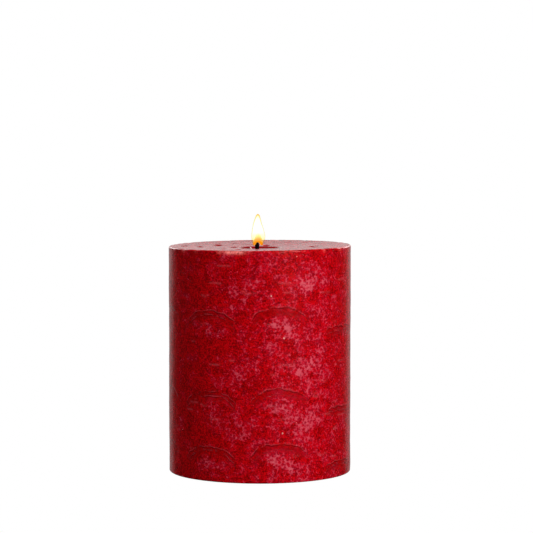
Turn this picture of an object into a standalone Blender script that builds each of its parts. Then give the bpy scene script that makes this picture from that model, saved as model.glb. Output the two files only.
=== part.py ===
"""Flameless pillar candle: a real wax shell over a battery housing, with a wick and a lit flame lens.

Metres, +Z up. The origin is the middle of the rim that the candle stands on, and -Y is the front.
From the table up: the base disc with its battery door and slide switch, two C cells in the battery tub,
the circuit board under a round cover, and a hollow column that carries the lamp up to the wick.
"""

import math

import bmesh
import bpy
from mathutils import Matrix, Vector

MM = 0.001

# ---------------------------------------------------------------- driving sizes

# The candle as seen from outside.
CANDLE_RADIUS = 50.8 * MM
CANDLE_HEIGHT = 127.0 * MM
WAX_WALL = 6.0 * MM
WAX_OVER_CAVITY = 9.0 * MM  # wax between the cavity and the lowest point of the top
DISH_DEPTH = 1.5 * MM  # how far the top sinks from its rim to the edge of the pool
POOL_RADIUS = 12.5 * MM  # the smooth dip round the wick
POOL_DEPTH = 0.85 * MM
POOL_LIP = 3.0 * MM  # width of the slope into the pool
RIM_ROUND = 0.9 * MM
FOOT_ROUND = 0.6 * MM
CAVITY_DRAFT = 1.0 * MM  # the cavity narrows by this much from foot to top, to leave its mould

# Clearances.
GAP = 0.3 * MM  # between two pieces that touch or rest on each other
BASE_CLEARANCE = 0.4 * MM  # base disc to wax
DOOR_CLEARANCE = 0.4 * MM  # battery door to its opening

# Battery cells, size C.
CELL_RADIUS = 13.1 * MM
CELL_LENGTH = 50.0 * MM
CELL_NUB_RADIUS = 3.6 * MM
CELL_NUB_HEIGHT = 1.5 * MM
CELL_ROOM = 0.4 * MM  # above, below and beside a cell
CONTACT_SHEET = 0.5 * MM
CONTACT_WIDTH = 14.0 * MM
CONTACT_TAB_WIDTH = 3.0 * MM
CONTACT_TAB_HEIGHT = 3.0 * MM  # above the tub's roof
SPRING_LENGTH = 5.6 * MM  # pressed by its cell
SPRING_WIRE = 0.45 * MM  # radius
SPRING_TURNS = 3
SPRING_WIDE = 8.0 * MM
SPRING_NARROW = 4.5 * MM

# Base housing: disc and battery tub in one moulding.
BASE_RECESS = 1.2 * MM  # the disc sits this far above the table
PLATE_THICKNESS = 3.2 * MM
TUB_WALL = 2.0 * MM
TUB_CORNER = 5.0 * MM
END_LEDGE = 1.2 * MM  # of disc left under each row of contacts
SIDE_LEDGE = 0.8 * MM  # of tub wall that the door closes against

# Battery door.
DOOR_THICKNESS = 2.2 * MM
PIN_RADIUS = 0.8 * MM
PIN_LENGTH = 2.0 * MM
GRIP_RIDGES = 5
GRIP_PITCH = 2.2 * MM
GRIP_DEPTH = 0.5 * MM
GRIP_WIDTH = 18.0 * MM
SNAP_BEAD = 0.25 * MM
SNAP_BEAD_LENGTH = 6.0 * MM
NOTCH_RADIUS = 8.0 * MM
NOTCH_REACH = 3.6 * MM  # how far the fingernail notch runs out past the opening

# Slide switch with three stops: off, on, timer.
SWITCH_STEP = 2.0 * MM
SWITCH_FROM_TUB = 6.6 * MM  # switch centre to the tub's outer wall
SWITCH_BODY = Vector((12.0, 5.6, 5.0)) * MM
SWITCH_EAR_SPAN = 18.4 * MM  # between its two screws
SWITCH_EAR_THICKNESS = 0.8 * MM
KNOB = Vector((4.2, 2.8)) * MM
KNOB_PROUD = 0.7 * MM  # below the disc, and still clear of the table
NECK = 1.8 * MM

# Round cover over the tub and the board.
COVER_WALL = 1.8 * MM
DECK_THICKNESS = 2.0 * MM
DECK_ROOM = 5.7 * MM  # between the capacitor's top and the deck
DECK_HOLE_RADIUS = 5.0 * MM
BOSS_RADIUS = 3.2 * MM
CASE_SCREW_SPREAD = 24.0 * MM  # between the two screws on one side

# Screws: head radius, head height, shank radius, shank length.
CASE_SCREW = (2.5 * MM, 1.3 * MM, 1.2 * MM, 9.0 * MM)
COLUMN_SCREW = (2.3 * MM, 1.3 * MM, 1.2 * MM, 6.0 * MM)
SMALL_SCREW = (1.9 * MM, 1.1 * MM, 0.9 * MM, 3.2 * MM)

# Circuit board.
BOARD = Vector((44.0, 32.0, 1.6)) * MM
BOARD_LIFT = 3.6 * MM  # height of the posts under it
BOARD_SCREW_INSET = 3.5 * MM
CHIP = Vector((8.6, 4.0, 1.6)) * MM
CHIP_LEGS = 4  # on each side
CAPACITOR_RADIUS = 2.5 * MM
CAPACITOR_HEIGHT = 6.5 * MM
RESISTOR_RADIUS = 1.1 * MM
RESISTOR_LENGTH = 5.6 * MM
PLUG = Vector((6.0, 4.6, 5.2)) * MM
WIRE_RADIUS = 0.6 * MM

# Lamp column, wick and flame.
COLUMN_RADIUS = 4.6 * MM
COLUMN_BORE = 3.4 * MM
FLANGE_RADIUS = 14.0 * MM
FLANGE_THICKNESS = 2.2 * MM
COLUMN_SCREW_CIRCLE = 10.2 * MM  # radius
COLUMN_SCREWS = 3
BUSH_RADIUS = 4.1 * MM
BUSH_IN_WAX = 5.4 * MM
BUSH_SPIGOT = 5.0 * MM
WICK_RADIUS = 1.25 * MM
WICK_WALL = 0.3 * MM
WICK_ABOVE_POOL = 3.7 * MM
STICK_BOARD = Vector((1.1, 0.35)) * MM
STICK_BOARD_BELOW = 4.0 * MM  # reaches this far below the wick for its solder pads
FLAME_HEIGHT = 17.8 * MM
FLAME_RADIUS = 4.15 * MM
FLAME_OVERLAP = 1.9 * MM  # the flame reaches this far down over the wick
GUIDE_RADIUS = 2.2 * MM
GUIDE_HEIGHT = 5.6 * MM

# How finely round pieces are made.
WAX_STEPS = 64
HOUSING_STEPS = 48
CELL_STEPS = 28
SMALL_STEPS = 18
TINY_STEPS = 12

# ---------------------------------------------------------------- derived places

cavity_radius = CANDLE_RADIUS - WAX_WALL
pool_floor = CANDLE_HEIGHT - DISH_DEPTH - POOL_DEPTH
cavity_top = pool_floor - WAX_OVER_CAVITY
base_radius = cavity_radius - BASE_CLEARANCE
cover_radius = cavity_radius - CAVITY_DRAFT - GAP

plate_bottom = BASE_RECESS
plate_top = plate_bottom + PLATE_THICKNESS
door_top = plate_bottom + DOOR_THICKNESS

cell_y = CELL_RADIUS + GAP
cell_z = plate_top + CELL_ROOM + CELL_RADIUS
cell_shift = (SPRING_LENGTH + GAP) / 2
tub_half_x = CELL_LENGTH / 2 + cell_shift + 2 * GAP + CONTACT_SHEET
tub_half_y = cell_y + CELL_RADIUS + CELL_ROOM
tub_ceiling = cell_z + CELL_RADIUS + CELL_ROOM
tub_roof = tub_ceiling + TUB_WALL
sheet_x = tub_half_x - GAP - CONTACT_SHEET / 2

opening_half_x = tub_half_x - END_LEDGE
opening_half_y = tub_half_y + SIDE_LEDGE
door_half_x = opening_half_x - DOOR_CLEARANCE
door_edge_y = opening_half_y - DOOR_CLEARANCE
knuckle_radius = PLATE_THICKNESS / 2
hinge_y = -(door_edge_y - knuckle_radius)
hinge_z = plate_bottom + knuckle_radius

switch_y = -(tub_half_y + TUB_WALL + SWITCH_FROM_TUB)
cover_bore = cover_radius - COVER_WALL
boss_reach = cover_bore + 0.2 * BOSS_RADIUS - BOSS_RADIUS  # bosses grow out of the cover's wall
boss_y = CASE_SCREW_SPREAD / 2
boss_x = math.sqrt(boss_reach**2 - boss_y**2)

board_bottom = tub_roof + BOARD_LIFT + GAP
board_top = board_bottom + BOARD.z
part_z = board_top + GAP  # the underside of what is soldered on the board

deck_bottom = part_z + CAPACITOR_HEIGHT + DECK_ROOM
deck_top = deck_bottom + DECK_THICKNESS

flange_bottom = deck_top + GAP
flange_top = flange_bottom + FLANGE_THICKNESS
bush_top = cavity_top + BUSH_IN_WAX
column_top = cavity_top - 3.0 * MM
spigot_bottom = column_top - BUSH_SPIGOT
wick_top = pool_floor + WICK_ABOVE_POOL
wick_bore = WICK_RADIUS - WICK_WALL
flame_bottom = wick_top - FLAME_OVERLAP
stick_bottom = spigot_bottom - STICK_BOARD_BELOW
stick_top = pool_floor + 0.6 * MM

# ---------------------------------------------------------------- finishes

FINISHES = {
    # name: (red, green, blue), roughness, metallic
    "red_wax": ((0.42, 0.004, 0.012), 0.45, 0.0),
    "black_wick": ((0.006, 0.006, 0.007), 0.7, 0.0),
    "flame_silicone": ((1.0, 0.78, 0.36), 0.3, 0.0),
    "amber_guide": ((1.0, 0.42, 0.04), 0.3, 0.0),
    "black_plastic": ((0.018, 0.018, 0.02), 0.55, 0.0),
    "white_plastic": ((0.72, 0.71, 0.68), 0.5, 0.0),
    "cell_jacket": ((0.05, 0.12, 0.2), 0.35, 0.0),
    "nickel": ((0.72, 0.69, 0.64), 0.3, 1.0),
    "zinc_screw": ((0.6, 0.6, 0.62), 0.35, 1.0),
    "green_board": ((0.02, 0.16, 0.06), 0.4, 0.0),
    "black_epoxy": ((0.02, 0.02, 0.02), 0.5, 0.0),
    "capacitor_sleeve": ((0.03, 0.04, 0.1), 0.35, 0.0),
    "tan_ceramic": ((0.62, 0.45, 0.25), 0.5, 0.0),
    "led_phosphor": ((0.9, 0.75, 0.25), 0.4, 0.0),
    "red_wire": ((0.5, 0.02, 0.015), 0.45, 0.0),
    "black_wire": ((0.015, 0.015, 0.015), 0.45, 0.0),
    "yellow_wire": ((0.7, 0.5, 0.04), 0.45, 0.0),
}


def finish(name):
    """The material of that name, made the first time it is asked for."""
    material = bpy.data.materials.get(name)
    if material is None:
        colour, roughness, metallic = FINISHES[name]
        material = bpy.data.materials.new(name)
        material.use_nodes = True
        shader = material.node_tree.nodes["Principled BSDF"]
        shader.inputs["Base Color"].default_value = (*colour, 1.0)
        shader.inputs["Roughness"].default_value = roughness
        shader.inputs["Metallic"].default_value = metallic
        material.diffuse_color = (*colour, 1.0)
    return material


# ---------------------------------------------------------------- modelling tools


def new_collection(name):
    collection = bpy.data.collections.new(name)
    bpy.context.scene.collection.children.link(collection)
    return collection


def clear_scene():
    for leftover in list(bpy.data.objects):
        bpy.data.objects.remove(leftover, do_unlink=True)


def add_object(name, data, material=None):
    """Puts data in the scene: as a part when it has a material, and otherwise as a hidden helper."""
    made = bpy.data.objects.new(name, data)
    if material:
        parts.objects.link(made)
        made.data.materials.clear()
        made.data.materials.append(finish(material))
    else:
        cutters.objects.link(made)
        made.hide_render = True
        made.display_type = "WIRE"
    return made


def shade(mesh, angle=35):
    """Smooth shading, with edges sharper than the angle kept crisp."""
    mesh.shade_smooth()
    mesh.set_sharp_from_angle(angle=math.radians(angle))


def mesh_of(name, fill):
    """A new mesh filled by fill(bmesh)."""
    mesh = bpy.data.meshes.new(name)
    work = bmesh.new()
    fill(work)
    work.to_mesh(mesh)
    work.free()
    shade(mesh)
    return mesh


def block(name, size, centre, material=None, corner=0.0):
    """A box, with its four upright edges rounded when corner is given."""

    def fill(work):
        bmesh.ops.create_cube(work, size=1.0, matrix=Matrix.Diagonal((*size, 1.0)))
        if corner:
            upright = [e for e in work.edges if abs(e.verts[0].co.z - e.verts[1].co.z) > size[2] / 2]
            bmesh.ops.bevel(work, geom=upright, offset=corner, segments=3, profile=0.5, affect="EDGES")

    made = add_object(name, mesh_of(name, fill), material)
    made.location = centre
    return made


def span(name, low, high, material=None, corner=0.0):
    """A box between two opposite corners."""
    low, high = Vector(low), Vector(high)
    return block(name, high - low, (low + high) / 2, material, corner)


def rod(name, radius, low, high, material=None, steps=SMALL_STEPS):
    """A cylinder from one point to another."""
    low, high = Vector(low), Vector(high)
    along = high - low

    def fill(work):
        bmesh.ops.create_cone(
            work, cap_ends=True, segments=steps, radius1=radius, radius2=radius, depth=along.length
        )

    made = add_object(name, mesh_of(name, fill), material)
    made.location = (low + high) / 2
    made.rotation_mode = "QUATERNION"
    made.rotation_quaternion = along.to_track_quat("Z", "Y")
    return made


def turned(name, profile, material=None, steps=HOUSING_STEPS, ring=False):
    """A turned piece. The profile is (radius, height) points that run down the outer side.

    With ring set the profile closes on itself. Without it the first and last points lie on the axis.
    """

    def fill(work):
        points = [work.verts.new((radius, 0.0, height)) for radius, height in profile]
        for first, second in zip(points, points[1:]):
            work.edges.new((first, second))
        if ring:
            work.edges.new((points[-1], points[0]))

    made = add_object(name, mesh_of(name, fill), material)
    screw = made.modifiers.new("turn", "SCREW")
    screw.axis = "Z"
    screw.steps = steps
    screw.render_steps = steps
    screw.use_merge_vertices = True
    screw.merge_threshold = 0.00001
    screw.use_smooth_shade = True
    return made


def arc(centre, radius, start, end, steps):
    """Points round an arc, as (radius, height) pairs; angles in degrees, 0 pointing outwards."""
    angles = [math.radians(start + (end - start) * step / steps) for step in range(steps + 1)]
    return [(centre[0] + radius * math.cos(a), centre[1] + radius * math.sin(a)) for a in angles]


def boolean(target, tool, operation):
    modifier = target.modifiers.new(tool.name, "BOOLEAN")
    modifier.operation = operation
    modifier.object = tool


def cut(target, *tools):
    for tool in tools:
        boolean(target, tool, "DIFFERENCE")


def join(target, *tools):
    for tool in tools:
        boolean(target, tool, "UNION")


def settled(helper, material):
    """Turns a helper and its modifiers into a plain mesh that several parts can share."""
    bpy.context.view_layer.update()
    graph = bpy.context.evaluated_depsgraph_get()
    mesh = bpy.data.meshes.new_from_object(helper.evaluated_get(graph))
    mesh.name = helper.name
    mesh.materials.clear()
    mesh.materials.append(finish(material))
    return mesh


def smooth_route(stops, count):
    """Points along one smooth curve through the stops, with the same number between each pair."""
    stops = [Vector(stop) for stop in stops]
    ends = [2 * stops[0] - stops[1], *stops, 2 * stops[-1] - stops[-2]]
    route = []
    for before, start, end, after in zip(ends, ends[1:], ends[2:], ends[3:]):
        for step in range(count):
            t = step / count
            route.append(
                0.5
                * (
                    2 * start
                    + (end - before) * t
                    + (2 * before - 5 * start + 4 * end - after) * t**2
                    + (3 * start - before - 3 * end + after) * t**3
                )
            )
    return [*route, stops[-1]]


def wire(name, points, radius, material=None):
    """A round wire along the points, with closed ends."""
    curve = bpy.data.curves.new(name, "CURVE")
    curve.dimensions = "3D"
    curve.bevel_depth = radius
    curve.bevel_resolution = 2
    curve.use_fill_caps = True
    spline = curve.splines.new("POLY")
    spline.points.add(len(points) - 1)
    for place, point in zip(spline.points, points):
        place.co = (*point, 1.0)
    return add_object(name, curve, material)


def as_mesh(helper):
    """A wire as a closed mesh helper, so that a Boolean can take it."""
    bpy.context.view_layer.update()
    graph = bpy.context.evaluated_depsgraph_get()
    mesh = bpy.data.meshes.new_from_object(helper.evaluated_get(graph))
    work = bmesh.new()
    work.from_mesh(mesh)
    bmesh.ops.remove_doubles(work, verts=work.verts, dist=0.00001)
    work.to_mesh(mesh)
    work.free()
    made = add_object(helper.name + "_mesh", mesh)
    made.matrix_world = helper.matrix_world
    bpy.data.objects.remove(helper, do_unlink=True)
    return made


# ---------------------------------------------------------------- the wax


def top_height(radius):
    """Height of the dished top at a distance from the axis, with the smooth pool round the wick."""
    dish_edge = CANDLE_RADIUS - RIM_ROUND
    share = min(radius / dish_edge, 1.0)
    height = CANDLE_HEIGHT - DISH_DEPTH * (1 - share**2)
    into_pool = min(max((POOL_RADIUS - radius) / POOL_LIP, 0.0), 1.0)
    return height - POOL_DEPTH * into_pool**2 * (3 - 2 * into_pool)


def make_wax_shell():
    hole = WICK_RADIUS + GAP
    counterbore = BUSH_RADIUS + GAP
    bush_seat = bush_top + GAP
    pool_edge = POOL_RADIUS - POOL_LIP
    dish_edge = CANDLE_RADIUS - RIM_ROUND
    radii = [hole, pool_edge]
    radii += [pool_edge + POOL_LIP * step / 3 for step in range(1, 4)]
    radii += [POOL_RADIUS + (dish_edge - POOL_RADIUS) * step / 3 for step in range(1, 3)]
    profile = [(radius, top_height(radius)) for radius in radii]
    profile += arc((dish_edge, CANDLE_HEIGHT - RIM_ROUND), RIM_ROUND, 90, 0, 3)
    profile += arc((CANDLE_RADIUS - FOOT_ROUND, FOOT_ROUND), FOOT_ROUND, 0, -90, 2)
    profile += [
        (cavity_radius, 0.0),
        (cavity_radius - CAVITY_DRAFT, cavity_top),
        (counterbore, cavity_top),
        (counterbore, bush_seat),
        (hole, bush_seat),
    ]
    turned("wax_shell", profile, "red_wax", steps=WAX_STEPS, ring=True)


# ---------------------------------------------------------------- base housing and door


def case_screw_places():
    return [(sx * boss_x, sy * boss_y) for sx in (1, -1) for sy in (1, -1)]


def board_screw_places():
    x = BOARD.x / 2 - BOARD_SCREW_INSET
    y = BOARD.y / 2 - BOARD_SCREW_INSET
    return [(x, y), (-x, -y)]


def switch_screw_places():
    return [(side * SWITCH_EAR_SPAN / 2, switch_y) for side in (1, -1)]


def make_base_housing():
    """The disc that closes the candle's foot, with the battery tub and the board's posts moulded on it."""
    edge = 0.5 * MM
    profile = [
        (0.0, plate_top),
        (base_radius - edge, plate_top),
        (base_radius, plate_top - edge),
        (base_radius, plate_bottom + edge),
        (base_radius - edge, plate_bottom),
        (0.0, plate_bottom),
    ]
    housing = turned("base_housing", profile, "black_plastic")
    overlap = 1.0 * MM
    outer = (tub_half_x + TUB_WALL, tub_half_y + TUB_WALL)
    join(
        housing,
        span(
            "tub_outside",
            (-outer[0], -outer[1], plate_top - overlap),
            (outer[0], outer[1], tub_roof),
            corner=TUB_CORNER,
        ),
    )
    for index, (x, y) in enumerate(board_screw_places()):
        post = rod(
            f"board_post_{index}",
            BOSS_RADIUS,
            (x, y, tub_roof - overlap),
            (x, y, tub_roof + BOARD_LIFT),
        )
        join(housing, post)
    cut(
        housing,
        span(
            "tub_inside",
            (-tub_half_x, -tub_half_y, plate_top),
            (tub_half_x, tub_half_y, tub_ceiling),
            corner=TUB_CORNER - TUB_WALL,
        ),
        span(
            "door_opening",
            (-opening_half_x, -opening_half_y, plate_bottom - overlap),
            (opening_half_x, opening_half_y, plate_top + GAP),
        ),
    )
    cut_hinge_room(housing)
    cut_fingernail_notch(housing)
    cut_screw_holes(housing)
    cut_switch_slot(housing)
    cut_contact_slots(housing)


def cut_hinge_room(housing):
    """Room above the knuckle in the tub's wall, and a blind hole for each hinge pin."""
    cut(
        housing,
        span(
            "knuckle_relief",
            (-opening_half_x, -opening_half_y, plate_top - GAP),
            (opening_half_x, hinge_y + knuckle_radius, plate_top + 2 * GAP),
        ),
    )
    reach = door_half_x + PIN_LENGTH + GAP
    cut(
        housing,
        rod(
            "pin_holes",
            PIN_RADIUS + GAP,
            (-reach, hinge_y, hinge_z),
            (reach, hinge_y, hinge_z),
            steps=TINY_STEPS,
        ),
    )


def cut_fingernail_notch(housing):
    """A shallow half moon beside the door's free edge, where a fingernail gets under it."""
    centre_y = opening_half_y + NOTCH_REACH - NOTCH_RADIUS
    cut(
        housing,
        rod(
            "fingernail_notch",
            NOTCH_RADIUS,
            (0.0, centre_y, plate_bottom - 1.0 * MM),
            (0.0, centre_y, plate_bottom + PLATE_THICKNESS / 2),
            steps=HOUSING_STEPS,
        ),
    )


def cut_screw_holes(housing):
    head_radius, head_height, shank_radius, _ = CASE_SCREW
    seat = plate_bottom + head_height + 2 * GAP
    for index, (x, y) in enumerate(case_screw_places()):
        cut(
            housing,
            rod(f"case_hole_{index}", shank_radius + GAP, (x, y, 0.0), (x, y, plate_top + GAP)),
            rod(f"case_seat_{index}", head_radius + GAP, (x, y, 0.0), (x, y, seat)),
        )
    _, _, small_shank, small_length = SMALL_SCREW
    board_tip = board_top + GAP - small_length - BOARD.z
    for index, (x, y) in enumerate(board_screw_places()):
        cut(
            housing,
            rod(
                f"board_hole_{index}",
                small_shank + GAP,
                (x, y, board_tip - GAP),
                (x, y, tub_roof + BOARD_LIFT + GAP),
                steps=TINY_STEPS,
            ),
        )
    switch_tip = plate_top + 2 * GAP + SWITCH_EAR_THICKNESS - small_length
    for index, (x, y) in enumerate(switch_screw_places()):
        cut(
            housing,
            rod(
                f"switch_hole_{index}",
                small_shank + GAP,
                (x, y, switch_tip - GAP),
                (x, y, plate_top + GAP),
                steps=TINY_STEPS,
            ),
        )


def cut_switch_slot(housing):
    """The slot that the switch knob runs in, as long as the knob and its travel."""
    half_x = KNOB.x / 2 + SWITCH_STEP + BASE_CLEARANCE
    half_y = KNOB.y / 2 + BASE_CLEARANCE
    cut(
        housing,
        span(
            "switch_slot",
            (-half_x, switch_y - half_y, plate_bottom - 1.0 * MM),
            (half_x, switch_y + half_y, plate_top + 1.0 * MM),
        ),
    )


def cut_contact_slots(housing):
    """Slots in the tub's roof that the contacts' solder tabs stand up through."""
    for index, (x, y) in enumerate(((sheet_x, cell_y), (sheet_x, -cell_y))):
        cut(
            housing,
            block(
                f"tab_slot_{index}",
                (CONTACT_SHEET + 2 * GAP, CONTACT_TAB_WIDTH + 2 * GAP, 3 * TUB_WALL),
                (x, y, tub_roof),
            ),
        )


def make_battery_door():
    """The door, its round hinge knuckle and pins along -Y, and grip ridges near its free edge."""
    pivot = bpy.data.objects.new("door_hinge_axis", None)
    parts.objects.link(pivot)
    pivot.location = (0.0, hinge_y, hinge_z)
    door = span(
        "battery_door",
        (-door_half_x, 0.0, plate_bottom - hinge_z),
        (door_half_x, door_edge_y - hinge_y, door_top - hinge_z),
        "black_plastic",
    )
    door.data.transform(Matrix.Translation(door.location))
    door.location = (0.0, 0.0, 0.0)
    door.parent = pivot
    knuckle = rod(
        "door_knuckle",
        knuckle_radius,
        (-door_half_x, hinge_y, hinge_z),
        (door_half_x, hinge_y, hinge_z),
    )
    reach = door_half_x + PIN_LENGTH
    pins = rod(
        "door_pins", PIN_RADIUS, (-reach, hinge_y, hinge_z), (reach, hinge_y, hinge_z), steps=TINY_STEPS
    )
    join(door, knuckle, pins)
    for index, side in enumerate((1, -1)):
        x = side * door_half_x * 0.55
        half = SNAP_BEAD_LENGTH / 2
        y = door_edge_y - SNAP_BEAD
        z = (plate_bottom + door_top) / 2
        bead = rod(
            f"snap_bead_{index}", 2 * SNAP_BEAD, (x - half, y, z), (x + half, y, z), steps=TINY_STEPS
        )
        join(door, bead)
    for index in range(GRIP_RIDGES):
        y = door_edge_y - (index + 1.5) * GRIP_PITCH
        groove = block(
            f"grip_groove_{index}",
            (GRIP_WIDTH, GRIP_PITCH / 2, 2 * GRIP_DEPTH),
            (0.0, y, plate_bottom),
        )
        cut(door, groove)


# ---------------------------------------------------------------- screws


def screw_mesh(name, sizes):
    """A pan-head screw with a cross recess, its head's underside at the origin and its shank down -Z."""
    head_radius, head_height, shank_radius, shank_length = sizes
    crown = head_height * 0.35
    profile = [
        (0.0, head_height),
        (head_radius * 0.7, head_height),
        (head_radius, head_height - crown),
        (head_radius, 0.0),
        (shank_radius, 0.0),
        (shank_radius, -shank_length + shank_radius),
        (0.0, -shank_length),
    ]
    screw = turned(name + "_blank", profile, steps=TINY_STEPS)
    slot = head_radius * 0.3
    for index, size in enumerate(((head_radius * 1.3, slot), (slot, head_radius * 1.3))):
        cut(screw, block(f"{name}_recess_{index}", (*size, head_height), (0.0, 0.0, head_height)))
    return settled(screw, "zinc_screw")


def place_screws(name, sizes, places, z, upside_down=False):
    """One screw at each place, its head's underside at height z."""
    mesh = screw_mesh(name, sizes)
    for index, (x, y) in enumerate(places, start=1):
        screw = bpy.data.objects.new(f"{name}_{index}", mesh)
        parts.objects.link(screw)
        screw.location = (x, y, z)
        screw.rotation_euler.x = math.pi if upside_down else 0.0


def make_screws():
    case_head_seat = plate_bottom + CASE_SCREW[1] + GAP
    place_screws("case_screw", CASE_SCREW, case_screw_places(), case_head_seat, upside_down=True)
    board_screw = (*SMALL_SCREW[:3], SMALL_SCREW[3] + BOARD.z)
    place_screws("board_screw", board_screw, board_screw_places(), board_top + GAP)
    ear_top = plate_top + GAP + SWITCH_EAR_THICKNESS
    place_screws("switch_screw", SMALL_SCREW, switch_screw_places(), ear_top + GAP)
    place_screws("column_screw", COLUMN_SCREW, column_screw_places(), flange_top + GAP)


# ---------------------------------------------------------------- cells and contacts


def make_battery(name, y, facing):
    """A C cell along X. facing is 1 when its positive end points to +X, and -1 when it points to -X."""
    can = CELL_LENGTH - CELL_NUB_HEIGHT
    rolled = 0.8 * MM
    dent = 0.3 * MM
    profile = [
        (0.0, CELL_LENGTH),
        (CELL_NUB_RADIUS, CELL_LENGTH),
        (CELL_NUB_RADIUS, can),
        (CELL_RADIUS - 2 * rolled, can),
        (CELL_RADIUS, can - rolled),
        (CELL_RADIUS, rolled),
        (CELL_RADIUS - rolled, 0.0),
        (CELL_RADIUS - 3 * rolled, 0.0),
        (CELL_RADIUS - 4 * rolled, dent),
        (0.0, dent),
    ]
    cell = turned(name, profile, "cell_jacket", steps=CELL_STEPS)
    cell.rotation_euler.y = facing * math.pi / 2
    cell.location = (facing * (cell_shift - CELL_LENGTH / 2), y, cell_z)


def make_spring(name, y, side):
    """A cone-shaped contact spring between its sheet, at the side given, and the cell's flat end."""
    turns_start = sheet_x - CONTACT_SHEET / 2 - GAP - SPRING_WIRE
    length = SPRING_LENGTH - 2 * SPRING_WIRE
    steps = SPRING_TURNS * 10
    points = []
    for step in range(steps + 1):
        share = step / steps
        radius = SPRING_WIDE + (SPRING_NARROW - SPRING_WIDE) * share
        angle = 2 * math.pi * SPRING_TURNS * share
        points.append(
            (
                side * (turns_start - length * share),
                y + radius * math.cos(angle),
                cell_z + radius * math.sin(angle),
            )
        )
    wire(name, points, SPRING_WIRE, "nickel")


def make_contact(name, side, y_low, y_high, tab_y=None):
    """A flat contact sheet at one end of the tub, with a solder tab up through the roof when tab_y is given."""
    half = CONTACT_SHEET / 2
    bottom = plate_top + GAP
    sheet = span(
        name,
        (side * sheet_x - half, y_low, bottom),
        (side * sheet_x + half, y_high, tub_ceiling - GAP),
        "nickel",
    )
    if tab_y is not None:
        tab = span(
            name + "_tab",
            (side * sheet_x - half, tab_y - CONTACT_TAB_WIDTH / 2, cell_z),
            (side * sheet_x + half, tab_y + CONTACT_TAB_WIDTH / 2, tub_roof + CONTACT_TAB_HEIGHT),
        )
        join(sheet, tab)


def make_power():
    make_battery("battery_1", cell_y, 1)
    make_battery("battery_2", -cell_y, -1)
    half = CONTACT_WIDTH / 2
    make_contact("positive_contact", 1, cell_y - half, cell_y + half, cell_y)
    make_contact("negative_contact", 1, -cell_y - half, -cell_y + half, -cell_y)
    make_contact("bridge_contact", -1, -cell_y - half, cell_y + half)
    make_spring("negative_spring", -cell_y, 1)
    make_spring("bridge_spring", cell_y, -1)


# ---------------------------------------------------------------- switch


def make_switch():
    """The switch body on the disc, and the knob that slides in it along X."""
    floor = plate_top + GAP
    half_x, half_y = SWITCH_BODY.x / 2, SWITCH_BODY.y / 2
    body = span(
        "switch_body",
        (-half_x, switch_y - half_y, floor),
        (half_x, switch_y + half_y, floor + SWITCH_BODY.z),
        "nickel",
    )
    screw_radius = SMALL_SCREW[2] + GAP
    ear_half = SWITCH_EAR_SPAN / 2 + 2 * screw_radius
    ears = span(
        "switch_ears",
        (-ear_half, switch_y - half_y, floor),
        (ear_half, switch_y + half_y, floor + SWITCH_EAR_THICKNESS),
    )
    join(body, ears)
    for index, (x, y) in enumerate(switch_screw_places()):
        hole = rod(f"ear_hole_{index}", screw_radius, (x, y, 0.0), (x, y, floor + 2 * MM), steps=TINY_STEPS)
        cut(body, hole)
    room = NECK / 2 + SWITCH_STEP + GAP
    depth = SWITCH_BODY.z * 0.6
    neck_room = span(
        "neck_room",
        (-room, switch_y - NECK / 2 - GAP, floor - 1.0 * MM),
        (room, switch_y + NECK / 2 + GAP, floor + depth),
    )
    cut(body, neck_room)

    knob = span(
        "switch_slider",
        (-KNOB.x / 2, switch_y - KNOB.y / 2, plate_bottom - KNOB_PROUD),
        (KNOB.x / 2, switch_y + KNOB.y / 2, plate_top),
        "white_plastic",
    )
    neck = block("slider_neck", (NECK, NECK, depth), (0.0, switch_y, floor + depth / 2 - 2 * GAP))
    join(knob, neck)
    for index in (-1, 0, 1):
        groove = block(
            f"knob_groove_{index + 1}",
            (0.5 * MM, 2 * KNOB.y, 0.5 * MM),
            (index * 1.2 * MM, switch_y, plate_bottom - KNOB_PROUD),
        )
        cut(knob, groove)


# ---------------------------------------------------------------- cover and board


def column_screw_places():
    turns = [math.radians(90 + 360 * index / COLUMN_SCREWS) for index in range(COLUMN_SCREWS)]
    return [(COLUMN_SCREW_CIRCLE * math.cos(a), COLUMN_SCREW_CIRCLE * math.sin(a)) for a in turns]


def make_core_cover():
    """The round cover over tub and board, with bosses for the case screws and the column's screws."""
    floor = plate_top + GAP
    round_ = 1.5 * MM
    profile = [
        (DECK_HOLE_RADIUS, deck_top),
        *arc((cover_radius - round_, deck_top - round_), round_, 90, 0, 3),
        (cover_radius, floor),
        (cover_bore, floor),
        (cover_bore, deck_bottom),
        (DECK_HOLE_RADIUS, deck_bottom),
    ]
    cover = turned("core_cover", profile, "white_plastic", ring=True)
    overlap = 0.5 * MM
    shank_radius, shank_length = CASE_SCREW[2:]
    hole_end = plate_bottom + CASE_SCREW[1] + GAP + shank_length + GAP
    for index, (x, y) in enumerate(case_screw_places()):
        join(cover, rod(f"case_boss_{index}", BOSS_RADIUS, (x, y, floor), (x, y, deck_bottom + overlap)))
    for index, (x, y) in enumerate(case_screw_places()):
        cut(cover, rod(f"boss_bore_{index}", shank_radius + GAP, (x, y, 0.0), (x, y, hole_end), steps=TINY_STEPS))
    column_shank, column_length = COLUMN_SCREW[2:]
    tip = flange_top + GAP - column_length - GAP
    for index, (x, y) in enumerate(column_screw_places()):
        boss = rod(
            f"deck_boss_{index}",
            BOSS_RADIUS,
            (x, y, tip - COVER_WALL),
            (x, y, deck_bottom + overlap),
        )
        join(cover, boss)
    for index, (x, y) in enumerate(column_screw_places()):
        bore = rod(
            f"deck_bore_{index}", column_shank + GAP, (x, y, tip), (x, y, deck_top + GAP), steps=TINY_STEPS
        )
        cut(cover, bore)


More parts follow.
